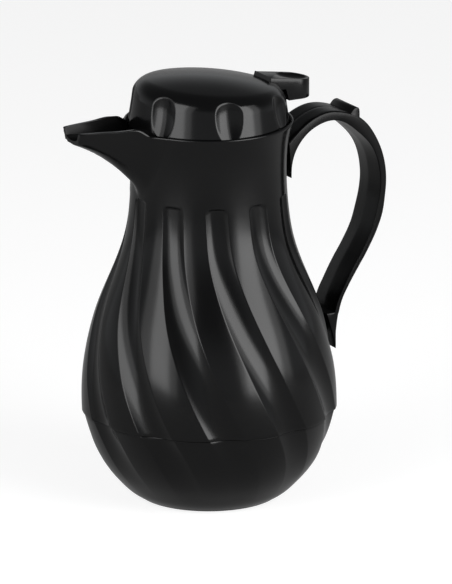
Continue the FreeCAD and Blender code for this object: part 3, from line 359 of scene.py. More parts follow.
class NodeWork:
    """Adds and joins the nodes of one tree."""

    def __init__(self, tree: bpy.types.NodeTree) -> None:
        """Keep the tree."""
        self.tree = tree

    def add(self, kind: str, **settings: object) -> bpy.types.Node:
        """Add a node and set its properties.

        Args:
            kind: the node's type.
            settings: the node's properties.

        Returns:
            The new node.
        """
        node = self.tree.nodes.new(kind)
        for name, value in settings.items():
            setattr(node, name, value)
        return node

    def put(self, socket: bpy.types.NodeSocket, value: object) -> None:
        """Feed an input from another socket, or set its value.

        Args:
            socket: the input.
            value: an output socket or a plain value.
        """
        if isinstance(value, bpy.types.NodeSocket):
            self.tree.links.new(value, socket)
        else:
            socket.default_value = value

    def fed(
        self, kind: str, inputs: dict[str | int, object], **settings: object
    ) -> bpy.types.Node:
        """Add a node, set its properties and feed its inputs.

        Args:
            kind: the node's type.
            inputs: a socket or value for each input, which is named or counted.
            settings: the node's properties.

        Returns:
            The new node.
        """
        node = self.add(kind, **settings)
        for key, value in inputs.items():
            self.put(node.inputs[key], value)
        return node

    def maths(self, operation: str, *values: object) -> bpy.types.NodeSocket:
        """Add a Math node and return its result."""
        return self.fed("ShaderNodeMath", dict(enumerate(values)), operation=operation).outputs[0]

    def vector(self, operation: str, *values: object) -> bpy.types.NodeSocket:
        """Add a Vector Math node and return its vector, or its number where it gives one.

        Args:
            operation: what the node does.
            values: a socket or value for each input.

        Returns:
            The node's result.
        """
        inputs: dict[str | int, object] = dict(enumerate(values))
        if operation == "SCALE":
            inputs["Scale"] = inputs.pop(1)
        node = self.fed("ShaderNodeVectorMath", inputs, operation=operation)
        return node.outputs["Value" if operation in ("LENGTH", "DOT_PRODUCT") else 0]


# Wear shows where the slow smears pass its start, and roughens the surface a little.
SMEAR_SCALE = 22.0
SMEAR_ROUGHNESS = 0.65
WEAR_START = 0.45
WEAR_GAIN = 2.4
WORN_ROUGHNESS = 0.06


def moulding_group() -> bpy.types.NodeTree:
    """Build the shader group for made surfaces: slow ripples, fine grain and light wear.

    Returns:
        A group that puts out a roughness, a height and a wear mask.
    """
    tree = bpy.data.node_groups.new("moulded_surface", "ShaderNodeTree")
    face = tree.interface
    face.new_socket("Vector", in_out="INPUT", socket_type="NodeSocketVector")
    for name, value in (
        ("Ripple Scale", 60.0), ("Grain Scale", 1500.0), ("Roughness", 0.2),
        ("Variation", 0.05), ("Ripple", 0.6), ("Grain", 0.1), ("Wear", 0.3),
    ):
        face.new_socket(name, in_out="INPUT", socket_type="NodeSocketFloat").default_value = value
    for name in ("Roughness", "Height", "Wear"):
        face.new_socket(name, in_out="OUTPUT", socket_type="NodeSocketFloat")
    work = NodeWork(tree)
    given = work.add("NodeGroupInput").outputs
    ripple, grain, smear = (
        work.fed("ShaderNodeTexNoise", {
            "Vector": given["Vector"], "Scale": scale, "Detail": detail, "Roughness": rough,
        }).outputs[0]
        for scale, detail, rough in (
            (given["Ripple Scale"], 1.0, 0.5), (given["Grain Scale"], 3.0, 0.5),
            (SMEAR_SCALE, 6.0, SMEAR_ROUGHNESS),
        )
    )
    worn = work.maths("MULTIPLY", work.maths("SUBTRACT", smear, WEAR_START), WEAR_GAIN)
    mask = work.fed("ShaderNodeClamp", {"Value": worn}).outputs[0]
    wear = work.maths("MULTIPLY", mask, given["Wear"])
    change = work.maths("MULTIPLY", work.maths("SUBTRACT", smear, 0.5), given["Variation"])
    rough = work.maths("ADD", work.maths("ADD", given["Roughness"], change),
                       work.maths("MULTIPLY", wear, WORN_ROUGHNESS))
    height = work.maths("ADD", work.maths("MULTIPLY", ripple, given["Ripple"]),
                        work.maths("MULTIPLY", grain, given["Grain"]))
    work.fed("NodeGroupOutput", {"Roughness": rough, "Height": height, "Wear": wear})
    return tree


@dataclass(frozen=True)
class Finish:
    """One finish: its two colours, sheen and surface."""

    name: str
    colour: tuple[float, float, float]
    worn_colour: tuple[float, float, float]
    roughness: float
    variation: float = 0.05
    ripple_scale: float = 60.0
    grain_scale: float = 1500.0
    ripple: float = 0.6
    grain: float = 0.1
    bump: float = 0.05
    wear: float = 0.3
    specular: float = 0.5
    metallic: float = 0.0
    stretch: float = 1.0

    def build(self, group: bpy.types.NodeTree) -> bpy.types.Material:
        """Build the material.

        Args:
            group: the shared moulding group.

        Returns:
            The new material.
        """
        material = bpy.data.materials.new(self.name)
        material.use_nodes = True
        material.node_tree.nodes.clear()
        work = NodeWork(material.node_tree)
        mapping = work.fed("ShaderNodeMapping", {
            "Vector": work.add("ShaderNodeTexCoord").outputs["Object"],
            "Scale": (1.0, 1.0, self.stretch),
        })
        surface = work.fed("ShaderNodeGroup", {
            "Vector": mapping.outputs[0], "Ripple Scale": self.ripple_scale,
            "Grain Scale": self.grain_scale, "Roughness": self.roughness,
            "Variation": self.variation, "Ripple": self.ripple, "Grain": self.grain,
            "Wear": self.wear,
        }, node_tree=group).outputs
        blend = work.fed("ShaderNodeMix", {
            "Factor": surface["Wear"], "A": (*self.colour, 1.0), "B": (*self.worn_colour, 1.0),
        }, data_type="RGBA")
        bump = work.fed("ShaderNodeBump", {
            "Strength": self.bump, "Distance": 0.001, "Height": surface["Height"],
        })
        shader = work.fed("ShaderNodeBsdfPrincipled", {
            "Base Color": blend.outputs["Result"], "Metallic": self.metallic,
            "Roughness": surface["Roughness"], "Specular IOR Level": self.specular,
            "Normal": bump.outputs[0],
        })
        work.fed("ShaderNodeOutputMaterial", {"Surface": shader.outputs[0]})
        return material


BLACK = (0.0019, 0.0019, 0.002)
BLACK_WORN = (0.0036, 0.0036, 0.0038)

FINISHES: dict[str, Finish] = {
    "body": Finish("gloss_black_body", BLACK, BLACK_WORN, 0.18, bump=0.02, grain=0.01,
                   ripple_scale=45.0, specular=0.25),
    "lid": Finish("gloss_black_lid", BLACK, BLACK_WORN, 0.15, bump=0.02, grain=0.01,
                  ripple_scale=35.0, specular=0.24),
    "handle": Finish("satin_black_handle", BLACK, BLACK_WORN, 0.24, bump=0.03, grain=0.04,
                     specular=0.17),
    "lever": Finish("gloss_black_lever", BLACK, BLACK_WORN, 0.16, bump=0.02, grain=0.01,
                    specular=0.24),
    "stopper": Finish("matte_black_stopper", (0.014, 0.014, 0.015), (0.025, 0.025, 0.026), 0.42,
                      bump=0.15, grain=0.5),
    "plug": Finish("matte_black_plug", (0.02, 0.02, 0.021), (0.035, 0.035, 0.036), 0.5,
                   bump=0.2, grain=0.6),
    "liner": Finish("pale_liner", (0.74, 0.73, 0.69), (0.66, 0.63, 0.56), 0.28, bump=0.06,
                    wear=0.5),
    "foam": Finish("cream_foam", (0.78, 0.7, 0.48), (0.6, 0.5, 0.3), 0.85, ripple_scale=420.0,
                   ripple=1.0, grain=0.5, bump=0.6, wear=0.8, specular=0.2),
    "seal": Finish("pale_rubber", (0.6, 0.59, 0.55), (0.42, 0.41, 0.38), 0.55, grain=0.4,
                   bump=0.1, wear=0.5),
    "valve": Finish("white_valve", (0.7, 0.69, 0.66), (0.55, 0.53, 0.48), 0.38, bump=0.08),
    "steel": Finish("drawn_steel", (0.56, 0.56, 0.57), (0.36, 0.35, 0.34), 0.26,
                    grain_scale=2600.0, grain=0.6, bump=0.08, metallic=1.0, stretch=0.08),
    "brass": Finish("turned_brass", (0.62, 0.46, 0.2), (0.4, 0.28, 0.12), 0.3,
                    grain_scale=2200.0, grain=0.6, bump=0.1, metallic=1.0, stretch=14.0),
}


# Rules that repeat round the axis


class GeometryRule:
    """One Geometry Nodes tree with named inputs, which changes or makes a mesh."""

    def __init__(self, name: str, inputs: dict[str, float]) -> None:
        """Start the tree with a geometry input and a number for each name.

        Args:
            name: the tree's name.
            inputs: the named sizes and what they are by default.
        """
        self.tree = bpy.data.node_groups.new(name, "GeometryNodeTree")
        face = self.tree.interface
        face.new_socket("Geometry", in_out="INPUT", socket_type="NodeSocketGeometry")
        face.new_socket("Geometry", in_out="OUTPUT", socket_type="NodeSocketGeometry")
        for title, value in inputs.items():
            socket = face.new_socket(title, in_out="INPUT", socket_type="NodeSocketFloat")
            socket.default_value = value
        self.work = NodeWork(self.tree)
        self.given = self.work.add("NodeGroupInput").outputs
        self.result = self.work.add("NodeGroupOutput").inputs["Geometry"]

    def named(self, title: str) -> bpy.types.NodeSocket:
        """Read a number kept on each vertex."""
        node = self.work.fed("GeometryNodeInputNamedAttribute", {"Name": title}, data_type="FLOAT")
        return node.outputs[0]

    def around(self, start: object) -> tuple[bpy.types.NodeSocket, ...]:
        """Read where each vertex lies among the repeats round the axis.

        Args:
            start: bearing of the first repeat's middle, as a socket or a number.

        Returns:
            The position, its height, its bearing from the start, its angle from the middle
            of the nearest repeat, and half of the pitch between two repeats.
        """
        work = self.work
        place = work.add("GeometryNodeInputPosition").outputs[0]
        parts = work.fed("ShaderNodeSeparateXYZ", {0: place}).outputs
        bearing = work.maths("ARCTAN2", parts["Y"], parts["X"])
        along = work.maths("SUBTRACT", bearing, start)
        half_pitch = work.maths("DIVIDE", math.pi, self.given["Count"])
        phase = work.maths("WRAP", along, half_pitch, work.maths("MULTIPLY", half_pitch, -1.0))
        return place, parts["Z"], along, phase, half_pitch

    def move(self, offset: bpy.types.NodeSocket, material: bpy.types.Material) -> None:
        """End the tree in its own geometry, moved by an offset.

        Args:
            offset: how far each vertex moves.
            material: finish of the result.
        """
        shift = self.work.fed("GeometryNodeSetPosition", {
            "Geometry": self.given["Geometry"], "Offset": offset,
        })
        self.close(shift.outputs[0], material)

    def close(self, geometry: bpy.types.NodeSocket, material: bpy.types.Material) -> None:
        """End the tree in real, dressed geometry.

        Args:
            geometry: what the tree has made.
            material: its finish.
        """
        real = self.work.fed("GeometryNodeRealizeInstances", {0: geometry})
        dress = self.work.fed("GeometryNodeSetMaterial", {
            "Geometry": real.outputs[0], "Material": material,
        })
        self.work.put(self.result, dress.outputs[0])

    def apply(self, obj: bpy.types.Object, **sizes: float) -> bpy.types.Object:
        """Run the tree on an object with the given sizes and keep its result as a mesh.

        Args:
            obj: the object.
            sizes: the tree's inputs, named in lower case with underscores.

        Returns:
            The same object.
        """
        step = obj.modifiers.new(self.tree.name, "NODES")
        step.node_group = self.tree
        for item in self.tree.interface.items_tree:
            key = getattr(item, "name", "").lower().replace(" ", "_")
            if item.item_type == "SOCKET" and item.in_out == "INPUT" and key in sizes:
                step[item.identifier] = float(sizes[key])
        return settle(obj)


# How sharply a flute's top corners drop, and how roundly a lobe falls away from its crest.
CORNER_POWER = 5.0
LOBE_POWER = 2.0


def flute_rule(material: bpy.types.Material) -> GeometryRule:
    """Press evenly spaced swirling flutes into a turned surface.

    The mesh carries each vertex's swirl, flute depth, squareness and lobe fall as named
    numbers. The lobe fall is how far a lobe's edges lie below its crest.

    Args:
        material: finish of the result.

    Returns:
        The rule.
    """
    rule = GeometryRule("swirl_flutes", {
        "Count": 11.0, "First Angle": 0.0, "Half Angle": 0.14, "Edge": 0.1,
        "Top Height": 0.2, "Corner Drop": 0.003, "End Slope": 0.002,
    })
    work, given = rule.work, rule.given
    start = work.maths("ADD", rule.named("swirl"), given["First Angle"])
    place, height, _, phase, half_pitch = rule.around(start)
    across = work.maths("DIVIDE", work.maths("ABSOLUTE", phase), given["Half Angle"])
    section = work.maths("SUBTRACT", 1.0, work.maths("POWER", across, rule.named("squareness")))
    section = work.maths("SMOOTH_MAX", section, 0.0, given["Edge"])
    drop = work.maths("MULTIPLY", work.maths("POWER", across, CORNER_POWER), given["Corner Drop"])
    top = work.maths("SUBTRACT", given["Top Height"], drop)
    rise = work.fed("ShaderNodeMapRange", {
        "Value": work.maths("SUBTRACT", top, height), "From Max": given["End Slope"],
    }, interpolation_type="SMOOTHSTEP")
    depth = work.maths("MULTIPLY", work.maths("MULTIPLY", section, rule.named("flute_depth")),
                       rise.outputs[0])
    lobe = work.maths("SUBTRACT", half_pitch, work.maths("ABSOLUTE", phase))
    lobe = work.maths("DIVIDE", lobe, work.maths("SUBTRACT", half_pitch, given["Half Angle"]))
    lobe = work.maths("POWER", work.maths("MINIMUM", lobe, 1.0), LOBE_POWER)
    depth = work.maths("MULTIPLY_ADD", lobe, rule.named("lobe_fall"), depth)
    flat = work.vector("NORMALIZE", work.vector("MULTIPLY", place, (1.0, 1.0, 0.0)))
    rule.move(work.vector("SCALE", flat, work.maths("MULTIPLY", depth, -1.0)), material)
    return rule


def scallop_rule(material: bpy.types.Material) -> GeometryRule:
    """Press leaning, barrel-shaped finger hollows into a lid, evenly about its axis.

    The mesh carries, as a named number, how far each vertex lies under the outside.

    Args:
        material: finish of the result.

    Returns:
        The rule.
    """
    rule = GeometryRule("finger_scallops", {
        "Count": 7.0, "Radius": 0.013, "Reach": 0.0587, "Height": 0.262, "Lean": 0.349,
        "Edge": 0.0008, "Bulge": 0.068,
    })
    work, given = rule.work, rule.given
    place, _, bearing, phase, _ = rule.around(0.0)
    turn = work.maths("SUBTRACT", bearing, phase)

    def turned(vector: bpy.types.NodeSocket, angle: bpy.types.NodeSocket) -> bpy.types.NodeSocket:
        """Turn a vector about the vertical axis."""
        return work.fed("ShaderNodeVectorRotate", {"Vector": vector, "Angle": angle},
                        rotation_type="Z_AXIS").outputs[0]

    def combined(x: object, z: object) -> bpy.types.NodeSocket:
        """A vector in the plane of X and Z."""
        return work.fed("ShaderNodeCombineXYZ", {"X": x, "Z": z}).outputs[0]

    local = turned(place, work.maths("MULTIPLY", turn, -1.0))
    centre = combined(given["Reach"], given["Height"])
    axis = combined(work.maths("MULTIPLY", work.maths("SINE", given["Lean"]), -1.0),
                    work.maths("COSINE", given["Lean"]))
    away = work.vector("SUBTRACT", local, centre)
    along = work.vector("DOT_PRODUCT", away, axis)
    run = work.vector("SCALE", axis, along)
    outward = work.vector("SUBTRACT", away, run)
    slimmer = work.maths("DIVIDE", work.maths("MULTIPLY", along, along),
                         work.maths("MULTIPLY", given["Bulge"], 2.0))
    radius = work.maths("ADD", given["Radius"], rule.named("inset"))
    radius = work.maths("SUBTRACT", radius, slimmer)
    depth = work.maths("SUBTRACT", radius, work.vector("LENGTH", outward))
    depth = work.maths("SMOOTH_MAX", depth, 0.0, given["Edge"])
    push = work.vector("SCALE", work.vector("NORMALIZE", outward), depth)
    rule.move(turned(push, turn), material)
    return rule


def helix_rule(material: bpy.types.Material) -> GeometryRule:
    """Wind a round wire about the vertical axis.

    Args:
        material: finish of the result.

    Returns:
        The rule, which makes its own geometry.
    """
    rule = GeometryRule("wound_wire", {
        "Turns": 6.0, "Radius": 0.008, "Height": 0.02, "Base": 0.2, "Wire": 0.0005,
    })
    work, given = rule.work, rule.given
    spiral = work.fed("GeometryNodeCurveSpiral", {
        "Resolution": 48, "Rotations": given["Turns"], "Start Radius": given["Radius"],
        "End Radius": given["Radius"], "Height": given["Height"],
    })
    ring = work.fed("GeometryNodeCurvePrimitiveCircle", {
        "Resolution": 10, "Radius": given["Wire"],
    })
    wire = work.fed("GeometryNodeCurveToMesh", {
        "Curve": spiral.outputs[0], "Profile Curve": ring.outputs["Curve"], "Fill Caps": True,
    })
    up = work.fed("ShaderNodeCombineXYZ", {"Z": given["Base"]})
    lift = work.fed("GeometryNodeTransform", {
        "Geometry": wire.outputs[0], "Translation": up.outputs[0],
    })
    rule.close(lift.outputs[0], material)
    return rule


def keep_number(obj: bpy.types.Object, title: str, values: np.ndarray) -> None:
    """Keep one number on each vertex under a name."""
    attribute = obj.data.attributes.new(title, "FLOAT", "POINT")
    attribute.data.foreach_set("value", np.asarray(values, np.float32))


# The insulated body


@dataclass
class FlutedBody:
    """The upper shell with its spout, and the bowl below the seam. Sizes in millimetres."""

    # Each row of heights or reaches goes with the rows of values under it.
    heights: tuple[float, ...] = (57, 79, 102, 125, 148, 168, 188, 206, 224, 236, 245)
    radii: tuple[float, ...] = (81.5, 80.5, 76.7, 70.1, 60.7, 54.0, 50.7, 49.4, 49.7, 51.4, 54.0)
    bowl_heights: tuple[float, ...] = (0, 2.6, 9, 19, 31, 44, 56.7)
    bowl_radii: tuple[float, ...] = (44.0, 48.6, 56.2, 65.0, 72.3, 77.1, 80.3)
    flutes: int = 11
    first_angle: float = 18.5
    half_angle: float = 8.1
    swirl_heights: tuple[float, ...] = (9, 19, 31, 44, 57, 79, 102, 125, 148, 168, 188, 196, 250)
    swirl: tuple[float, ...] = (49.5, 47.6, 44.3, 40.2, 35.3, 27.3, 20.0, 13.0, 6.7, 2.3, 0.5, 0, 0)
    depth_heights: tuple[float, ...] = (0, 9, 19, 31, 44, 57, 125, 196, 250)
    depths: tuple[float, ...] = (0, 0, 0.4, 1.1, 1.9, 2.9, 2.7, 2.0, 2.0)
    fall_heights: tuple[float, ...] = (9, 31, 57, 125, 170, 192, 204)
    falls: tuple[float, ...] = (0, 0.1, 0.3, 0.3, 0.2, 0.1, 0)
    square_heights: tuple[float, ...] = (57, 150, 190)
    squareness: tuple[float, ...] = (2.0, 2.2, 3.0)
    corner_drop: float = 2.6
    end_slope: float = 1.9
    shell_edge: float = 0.05
    bowl_edge: float = 0.08
    seam: float = 57.0
    flute_top: float = 199.8
    close_start: float = 190.0
    plain_start: float = 202.0
    column_edges: tuple[float, ...] = (-0.4, 0.0, 0.35, 0.8)
    spout_columns: float = 30.0
    spout_step: float = 0.6
    least_gap: float = 0.28
    rim: float = 245.0
    lip: float = 252.0
    wall: float = 2.3
    spout_reaches: tuple[float, ...] = (42, 50.25, 60.7, 72.8, 84.9, 97)
    spout_keels: tuple[float, ...] = (199, 206.6, 217.2, 227.4, 235.2, 241.0)
    spout_lips: tuple[float, ...] = (245, 246.0, 249.6, 249.8, 249.8, 249.8)
    spout_widths: tuple[float, ...] = (27.5, 23.1, 20.2, 17.8, 14.9, 12.2)
    keel_widths: tuple[float, ...] = (4.6, 5.1, 5.8, 6.6, 7.4, 8.2)
    spout_slant: float = 38.0
    spout_corner: float = 0.22
    lip_start: float = 56.5
    lip_run: float = 8.0
    blend: float = 7.0
    seam_round: float = 0.7
    # Rows of an edge: how far each is drawn in, and how far it is lifted.
    seam_edge: tuple[Point, ...] = ((0.15, 0.25), (0.7, 0.0))
    brim: tuple[Point, ...] = ((0.08, 0.45), (0.35, 0.8), (0.85, 1.0), (1.6, 1.0))
    cavity_line: tuple[Point, ...] = (
        (0, 50), (75.9, 50), (75.9, 57), (74.9, 79), (64.5, 125), (48.4, 168), (46.4, 206),
        (46.4, 230.6), (48.9, 230.6), (48.9, 234.4), (51.9, 244.4), (52.6, 245.3),
        (52.6, 265), (0, 265),
    )
    trough_run: Span = (44.0, 103.0)
    trough_reaches: Span = (42.9, 97)
    trough_floors: Span = (236.0, 243.5)
    trough_halves: Span = (14.5, 6.6)
    trough_round: float = 2.2
    trough_above: float = 12.0
    # The bowl's outside from its top down, with runs of rows as first height, last and number.
    bowl_top: tuple[Point, ...] = ((79.7, 56.7), (80.15, 56.58))
    bowl_runs: tuple[tuple[float, float, int], ...] = ((56.3, 9, 30), (8, 0.9, 9))
    bowl_foot: tuple[Point, ...] = ((44.9, 0.25), (43.9, 0.0))
    bowl_inside: tuple[Point, ...] = (
        (37.4, 0), (37.0, 0.3), (37.0, 1.6), (9.0, 1.6), (9.0, 5.0), (46.6, 5.0), (68.3, 31),
        (74.6, 48), (72.8, 48.2), (72.8, 63), (75.3, 63), (75.4, 62.6), (75.4, 56.7),
    )

    def add(self, materials: Materials) -> None:
        """Build and dress the shell and the bowl.

        Args:
            materials: every finish by its name.
        """
        rule = flute_rule(materials["body"])
        finish_piece(self.build_shell(rule), Body.JUG, materials["body"], "shell", "outer_shell")
        finish_piece(self.build_bowl(rule), Body.JUG, materials["body"], "bowl", "base_bowl")

    def columns(self) -> np.ndarray:
        """Angles of the grid's columns, close together at flute edges and at the spout.

        Returns:
            The angles in degrees, in rising order.
        """
        pitch = 360 / self.flutes
        inner = np.linspace(-self.half_angle + 0.8, self.half_angle - 0.8, 10)
        right = self.half_angle + np.array(self.column_edges)
        lobe = np.linspace(self.half_angle + 1.8, pitch - self.half_angle - 1.8, 9)
        one = np.concatenate([inner, right, lobe, pitch - right[::-1]])
        angles = np.concatenate([self.first_angle + k * pitch + one for k in range(self.flutes)])
        near_spout = np.arange(180 - self.spout_columns, 180 + self.spout_columns, self.spout_step)
        apart = [a for a in near_spout if np.min(np.abs(angles - a)) > self.least_gap]
        return np.sort(np.concatenate([angles, apart]) % 360)

    def neck_radius(self, height: np.ndarray) -> np.ndarray:
        """Radius of the turned outside at a height."""
        return smooth_curve(self.heights, self.radii, height)

    def spout_radius(self, slant: np.ndarray, height: np.ndarray) -> np.ndarray:
        """Distance from the axis to the spout's side.

        Args:
            slant: angle from the spout's middle plane, in radians.
            height: heights in millimetres, of the same shape.

        Returns:
            The distance, or nought where the spout isn't met.
        """
        reaches = np.linspace(self.spout_reaches[0], self.spout_reaches[-1], 160)
        keel = smooth_curve(self.spout_reaches, self.spout_keels, reaches)
        lip = smooth_curve(self.spout_reaches, self.spout_lips, reaches)
        top_half = smooth_curve(self.spout_reaches, self.spout_widths, reaches)
        low_half = smooth_curve(self.spout_reaches, self.keel_widths, reaches)
        share = (height[..., None] - keel) / (lip - keel)
        half = low_half + (top_half - low_half) * np.clip(share, 0, 1)
        corner = np.clip(share / self.spout_corner, 0, 1)
        half = half * np.sqrt(np.clip(1 - (1 - corner) ** 2, 0, 1))
        room = np.where(share >= 0, half, -1.0) - np.tan(np.abs(slant))[..., None] * reaches
        inside = room >= 0
        last = room.shape[-1] - 1 - np.argmax(inside[..., ::-1], axis=-1)
        found = inside.any(axis=-1)
        after = np.minimum(last + 1, room.shape[-1] - 1)
        here = np.take_along_axis(room, last[..., None], -1)[..., 0]
        next_room = np.take_along_axis(room, after[..., None], -1)[..., 0]
        part = np.where(after > last, here / np.maximum(here - next_room, 1e-9), 0)
        reach = reaches[last] + np.clip(part, 0, 1) * (reaches[1] - reaches[0])
        return np.where(found, np.minimum(reach, reaches[-1]) / np.cos(slant), 0)

    def outside_radius(self, angle: np.ndarray, height: np.ndarray) -> np.ndarray:
        """Radius of neck and spout together, with a soft blend where they meet.

        Args:
            angle: bearings in radians.
            height: heights in millimetres, of the same shape.

        Returns:
            The radius at each place.
        """
        neck = self.neck_radius(height)
        slant = np.mod(angle, 2 * math.pi) - math.pi
        spout = np.zeros_like(neck)
        near = np.abs(slant) < math.radians(self.spout_slant)
        near &= height > self.spout_keels[0]
        spout[near] = self.spout_radius(slant[near], height[near])
        soft = np.clip(self.blend - np.abs(neck - spout), 0, None) / self.blend
        return np.maximum(neck, spout) + soft * soft * self.blend / 4

    def top_height(self, angle: np.ndarray) -> np.ndarray:
        """Height of the rim, which rises along the spout's lips.

        Args:
            angle: bearings in radians.

        Returns:
            The height at each bearing.
        """
        slant = np.mod(angle, 2 * math.pi) - math.pi
        reaches = np.linspace(self.spout_reaches[0], self.spout_reaches[-1], 300)
        lip = smooth_curve(self.spout_reaches, self.spout_lips, reaches)
        half = smooth_curve(self.spout_reaches, self.spout_widths, reaches)
        heights = np.full_like(angle, self.rim)
        for index, value in enumerate(np.abs(slant)):
            if value > math.radians(self.spout_slant):
                continue
            inside = np.nonzero(half >= math.tan(value) * reaches)[0]
            if not len(inside):
                continue
            reach = reaches[inside[-1]]
            radius = reach / math.cos(value)
            rise = float(ease(np.array((radius - self.lip_start) / self.lip_run)))
            heights[index] = self.rim + (lip[inside[-1]] - self.rim) * rise
        return heights

    def swirl_at(self, height: np.ndarray) -> np.ndarray:
        """Turn of the flutes at a height, in radians."""
        return np.radians(smooth_curve(self.swirl_heights, self.swirl, height))

    def dress_numbers(self, obj: bpy.types.Object, height: np.ndarray, fluted: np.ndarray) -> None:
        """Keep swirl, depth, squareness and lobe fall on each vertex for the flute rule.

        Args:
            obj: the turned mesh.
            height: each vertex's height in millimetres.
            fluted: which vertices lie on the outside.
        """
        depth = np.interp(height, self.depth_heights, self.depths) * fluted
        keep_number(obj, "swirl", self.swirl_at(height))
        keep_number(obj, "flute_depth", depth * MM)
        keep_number(obj, "squareness", np.interp(height, self.square_heights, self.squareness))
        fall = np.interp(height, self.fall_heights, self.falls) * fluted
        keep_number(obj, "lobe_fall", fall * MM)

    def press_flutes(
        self, obj: bpy.types.Object, rule: GeometryRule, edge: float, top: float = 1000.0,
        corner_drop: float = 0.0, end_slope: float = 10.0,
    ) -> None:
        """Run the flute rule on a mesh that carries its numbers.

        Args:
            obj: the mesh.
            rule: the flute rule.
            edge: softness of a flute's edges, as a share of its depth.
            top: height of the flutes' tops, which by default is far above the jug.
            corner_drop: how far the tops' corners lie below their middle.
            end_slope: height over which a flute's top end runs out.
        """
        rule.apply(
            obj, count=self.flutes, first_angle=math.radians(self.first_angle),
            half_angle=math.radians(self.half_angle), edge=edge, top_height=top * MM,
            corner_drop=corner_drop * MM, end_slope=end_slope * MM,
        )
        point_outwards(obj)

    def shell_rows(self, columns: np.ndarray) -> np.ndarray:
        """Lay the rows of the shell's skin, from the seam up and over the brim.

        Args:
            columns: bearings of the columns above the flutes, in radians.

        Returns:
            Bearing, radius and height of each point, row by row.
        """
        lower = np.concatenate([
            np.linspace(self.seam + self.seam_round, self.close_start, 74),
            np.linspace(self.close_start + 1, self.plain_start, 24),
        ])
        top = self.top_height(columns)
        rows: list[np.ndarray] = []
        for height in lower:
            level = np.full_like(columns, height)
            angle = columns + self.swirl_at(level)
            rows.append(np.stack([angle, self.outside_radius(angle, level), level], axis=1))
        for share in np.linspace(0, 1, 46)[1:]:
            level = self.plain_start + (top - 1.0 - self.plain_start) * share
            rows.append(np.stack([columns, self.outside_radius(columns, level), level], axis=1))
        base = rows[0]
        for drawn, lift in self.seam_edge:
            level = np.full_like(columns, self.seam + lift)
            rows.insert(0, np.stack([base[:, 0], base[:, 1] - drawn, level], axis=1))
        edge = rows[-1]
        for drawn, lift in self.brim:
            rows.append(np.stack([columns, edge[:, 1] - drawn, edge[:, 2] + lift], axis=1))
        brim = rows[-1]
        for share in (0.9, 0.75, 0.5, 0.25):
            rows.append(np.stack([columns, brim[:, 1] * share, brim[:, 2]], axis=1))
        return np.array(rows)

    def build_shell(self, rule: GeometryRule) -> bpy.types.Object:
        """Build the upper shell: flutes, spout, trough, rim cup and cavity.

        Args:
            rule: the flute rule.

        Returns:
            The shell.
        """
        columns = np.radians(self.columns())
        grid = self.shell_rows(columns)
        angle, radius, height = (grid[..., k].ravel() for k in range(3))
        vertices = np.stack([radius * np.cos(angle), radius * np.sin(angle), height], axis=1) * MM
        count = len(columns)
        faces = grid_faces(len(grid), count)
        middle = len(vertices)
        low_middle = middle + 1
        vertices = np.vstack([vertices, [[0, 0, self.rim * MM], [0, 0, self.seam * MM]]])
        last = (len(grid) - 1) * count
        faces += [[last + j, last + (j + 1) % count, middle] for j in range(count)]
        faces += [[(j + 1) % count, j, low_middle] for j in range(count)]
        obj = make_object("fluted_shell", vertices, faces)
        heights = np.concatenate([height, [self.rim, self.seam]])
        self.dress_numbers(obj, heights, np.concatenate([np.ones(len(height)), [0, 0]]))
        self.press_flutes(obj, rule, self.shell_edge, self.flute_top, self.corner_drop,
                          self.end_slope)
        cut(obj, self.cavity())
        cut(obj, self.trough())
        shade(obj, sharp_degrees=38)
        return obj

    def cavity(self) -> bpy.types.Object:
        """The space inside the shell, as a closed mesh."""
        return turned_mesh("shell_cavity", self.cavity_line, 256)

    def trough(self) -> bpy.types.Object:
        """The open channel of the spout, as a closed mesh.

        Returns:
            The mesh that cuts the channel.
        """
        reaches = np.linspace(*self.trough_run, 32)
        half = smooth_curve(self.spout_reaches, self.spout_widths, reaches) - self.wall
        floor = np.interp(reaches, self.trough_reaches, self.trough_floors)
        low_half = np.interp(reaches, self.trough_reaches, self.trough_halves)
        rim = self.lip
        sections = []
        for reach, top_half, base, base_half in zip(reaches, half, floor, low_half):
            widen = (top_half - base_half) / (rim - base)
            side = [(base_half * math.cos(a), base + self.trough_round * (1 - math.sin(a)))
                    for a in np.linspace(math.pi / 2, 0.0, 7)]
            side = [(y + widen * (z - base), z) for y, z in side]
            crest = (top_half + widen * self.trough_above, rim + self.trough_above)
            ring = [(-y, z) for y, z in [crest] + side[::-1]] + side[1:] + [crest]
            sections.append([(-reach, y, z) for y, z in ring])
        count = len(sections[0])
        vertices = np.array(sections).reshape(-1, 3) * MM
        faces = grid_faces(len(sections), count)
        faces.append(list(range(count)))
        faces.append(list(range(len(vertices) - 1, len(vertices) - 1 - count, -1)))
        obj = make_object("spout_trough", vertices, faces)
        point_outwards(obj)
        return obj

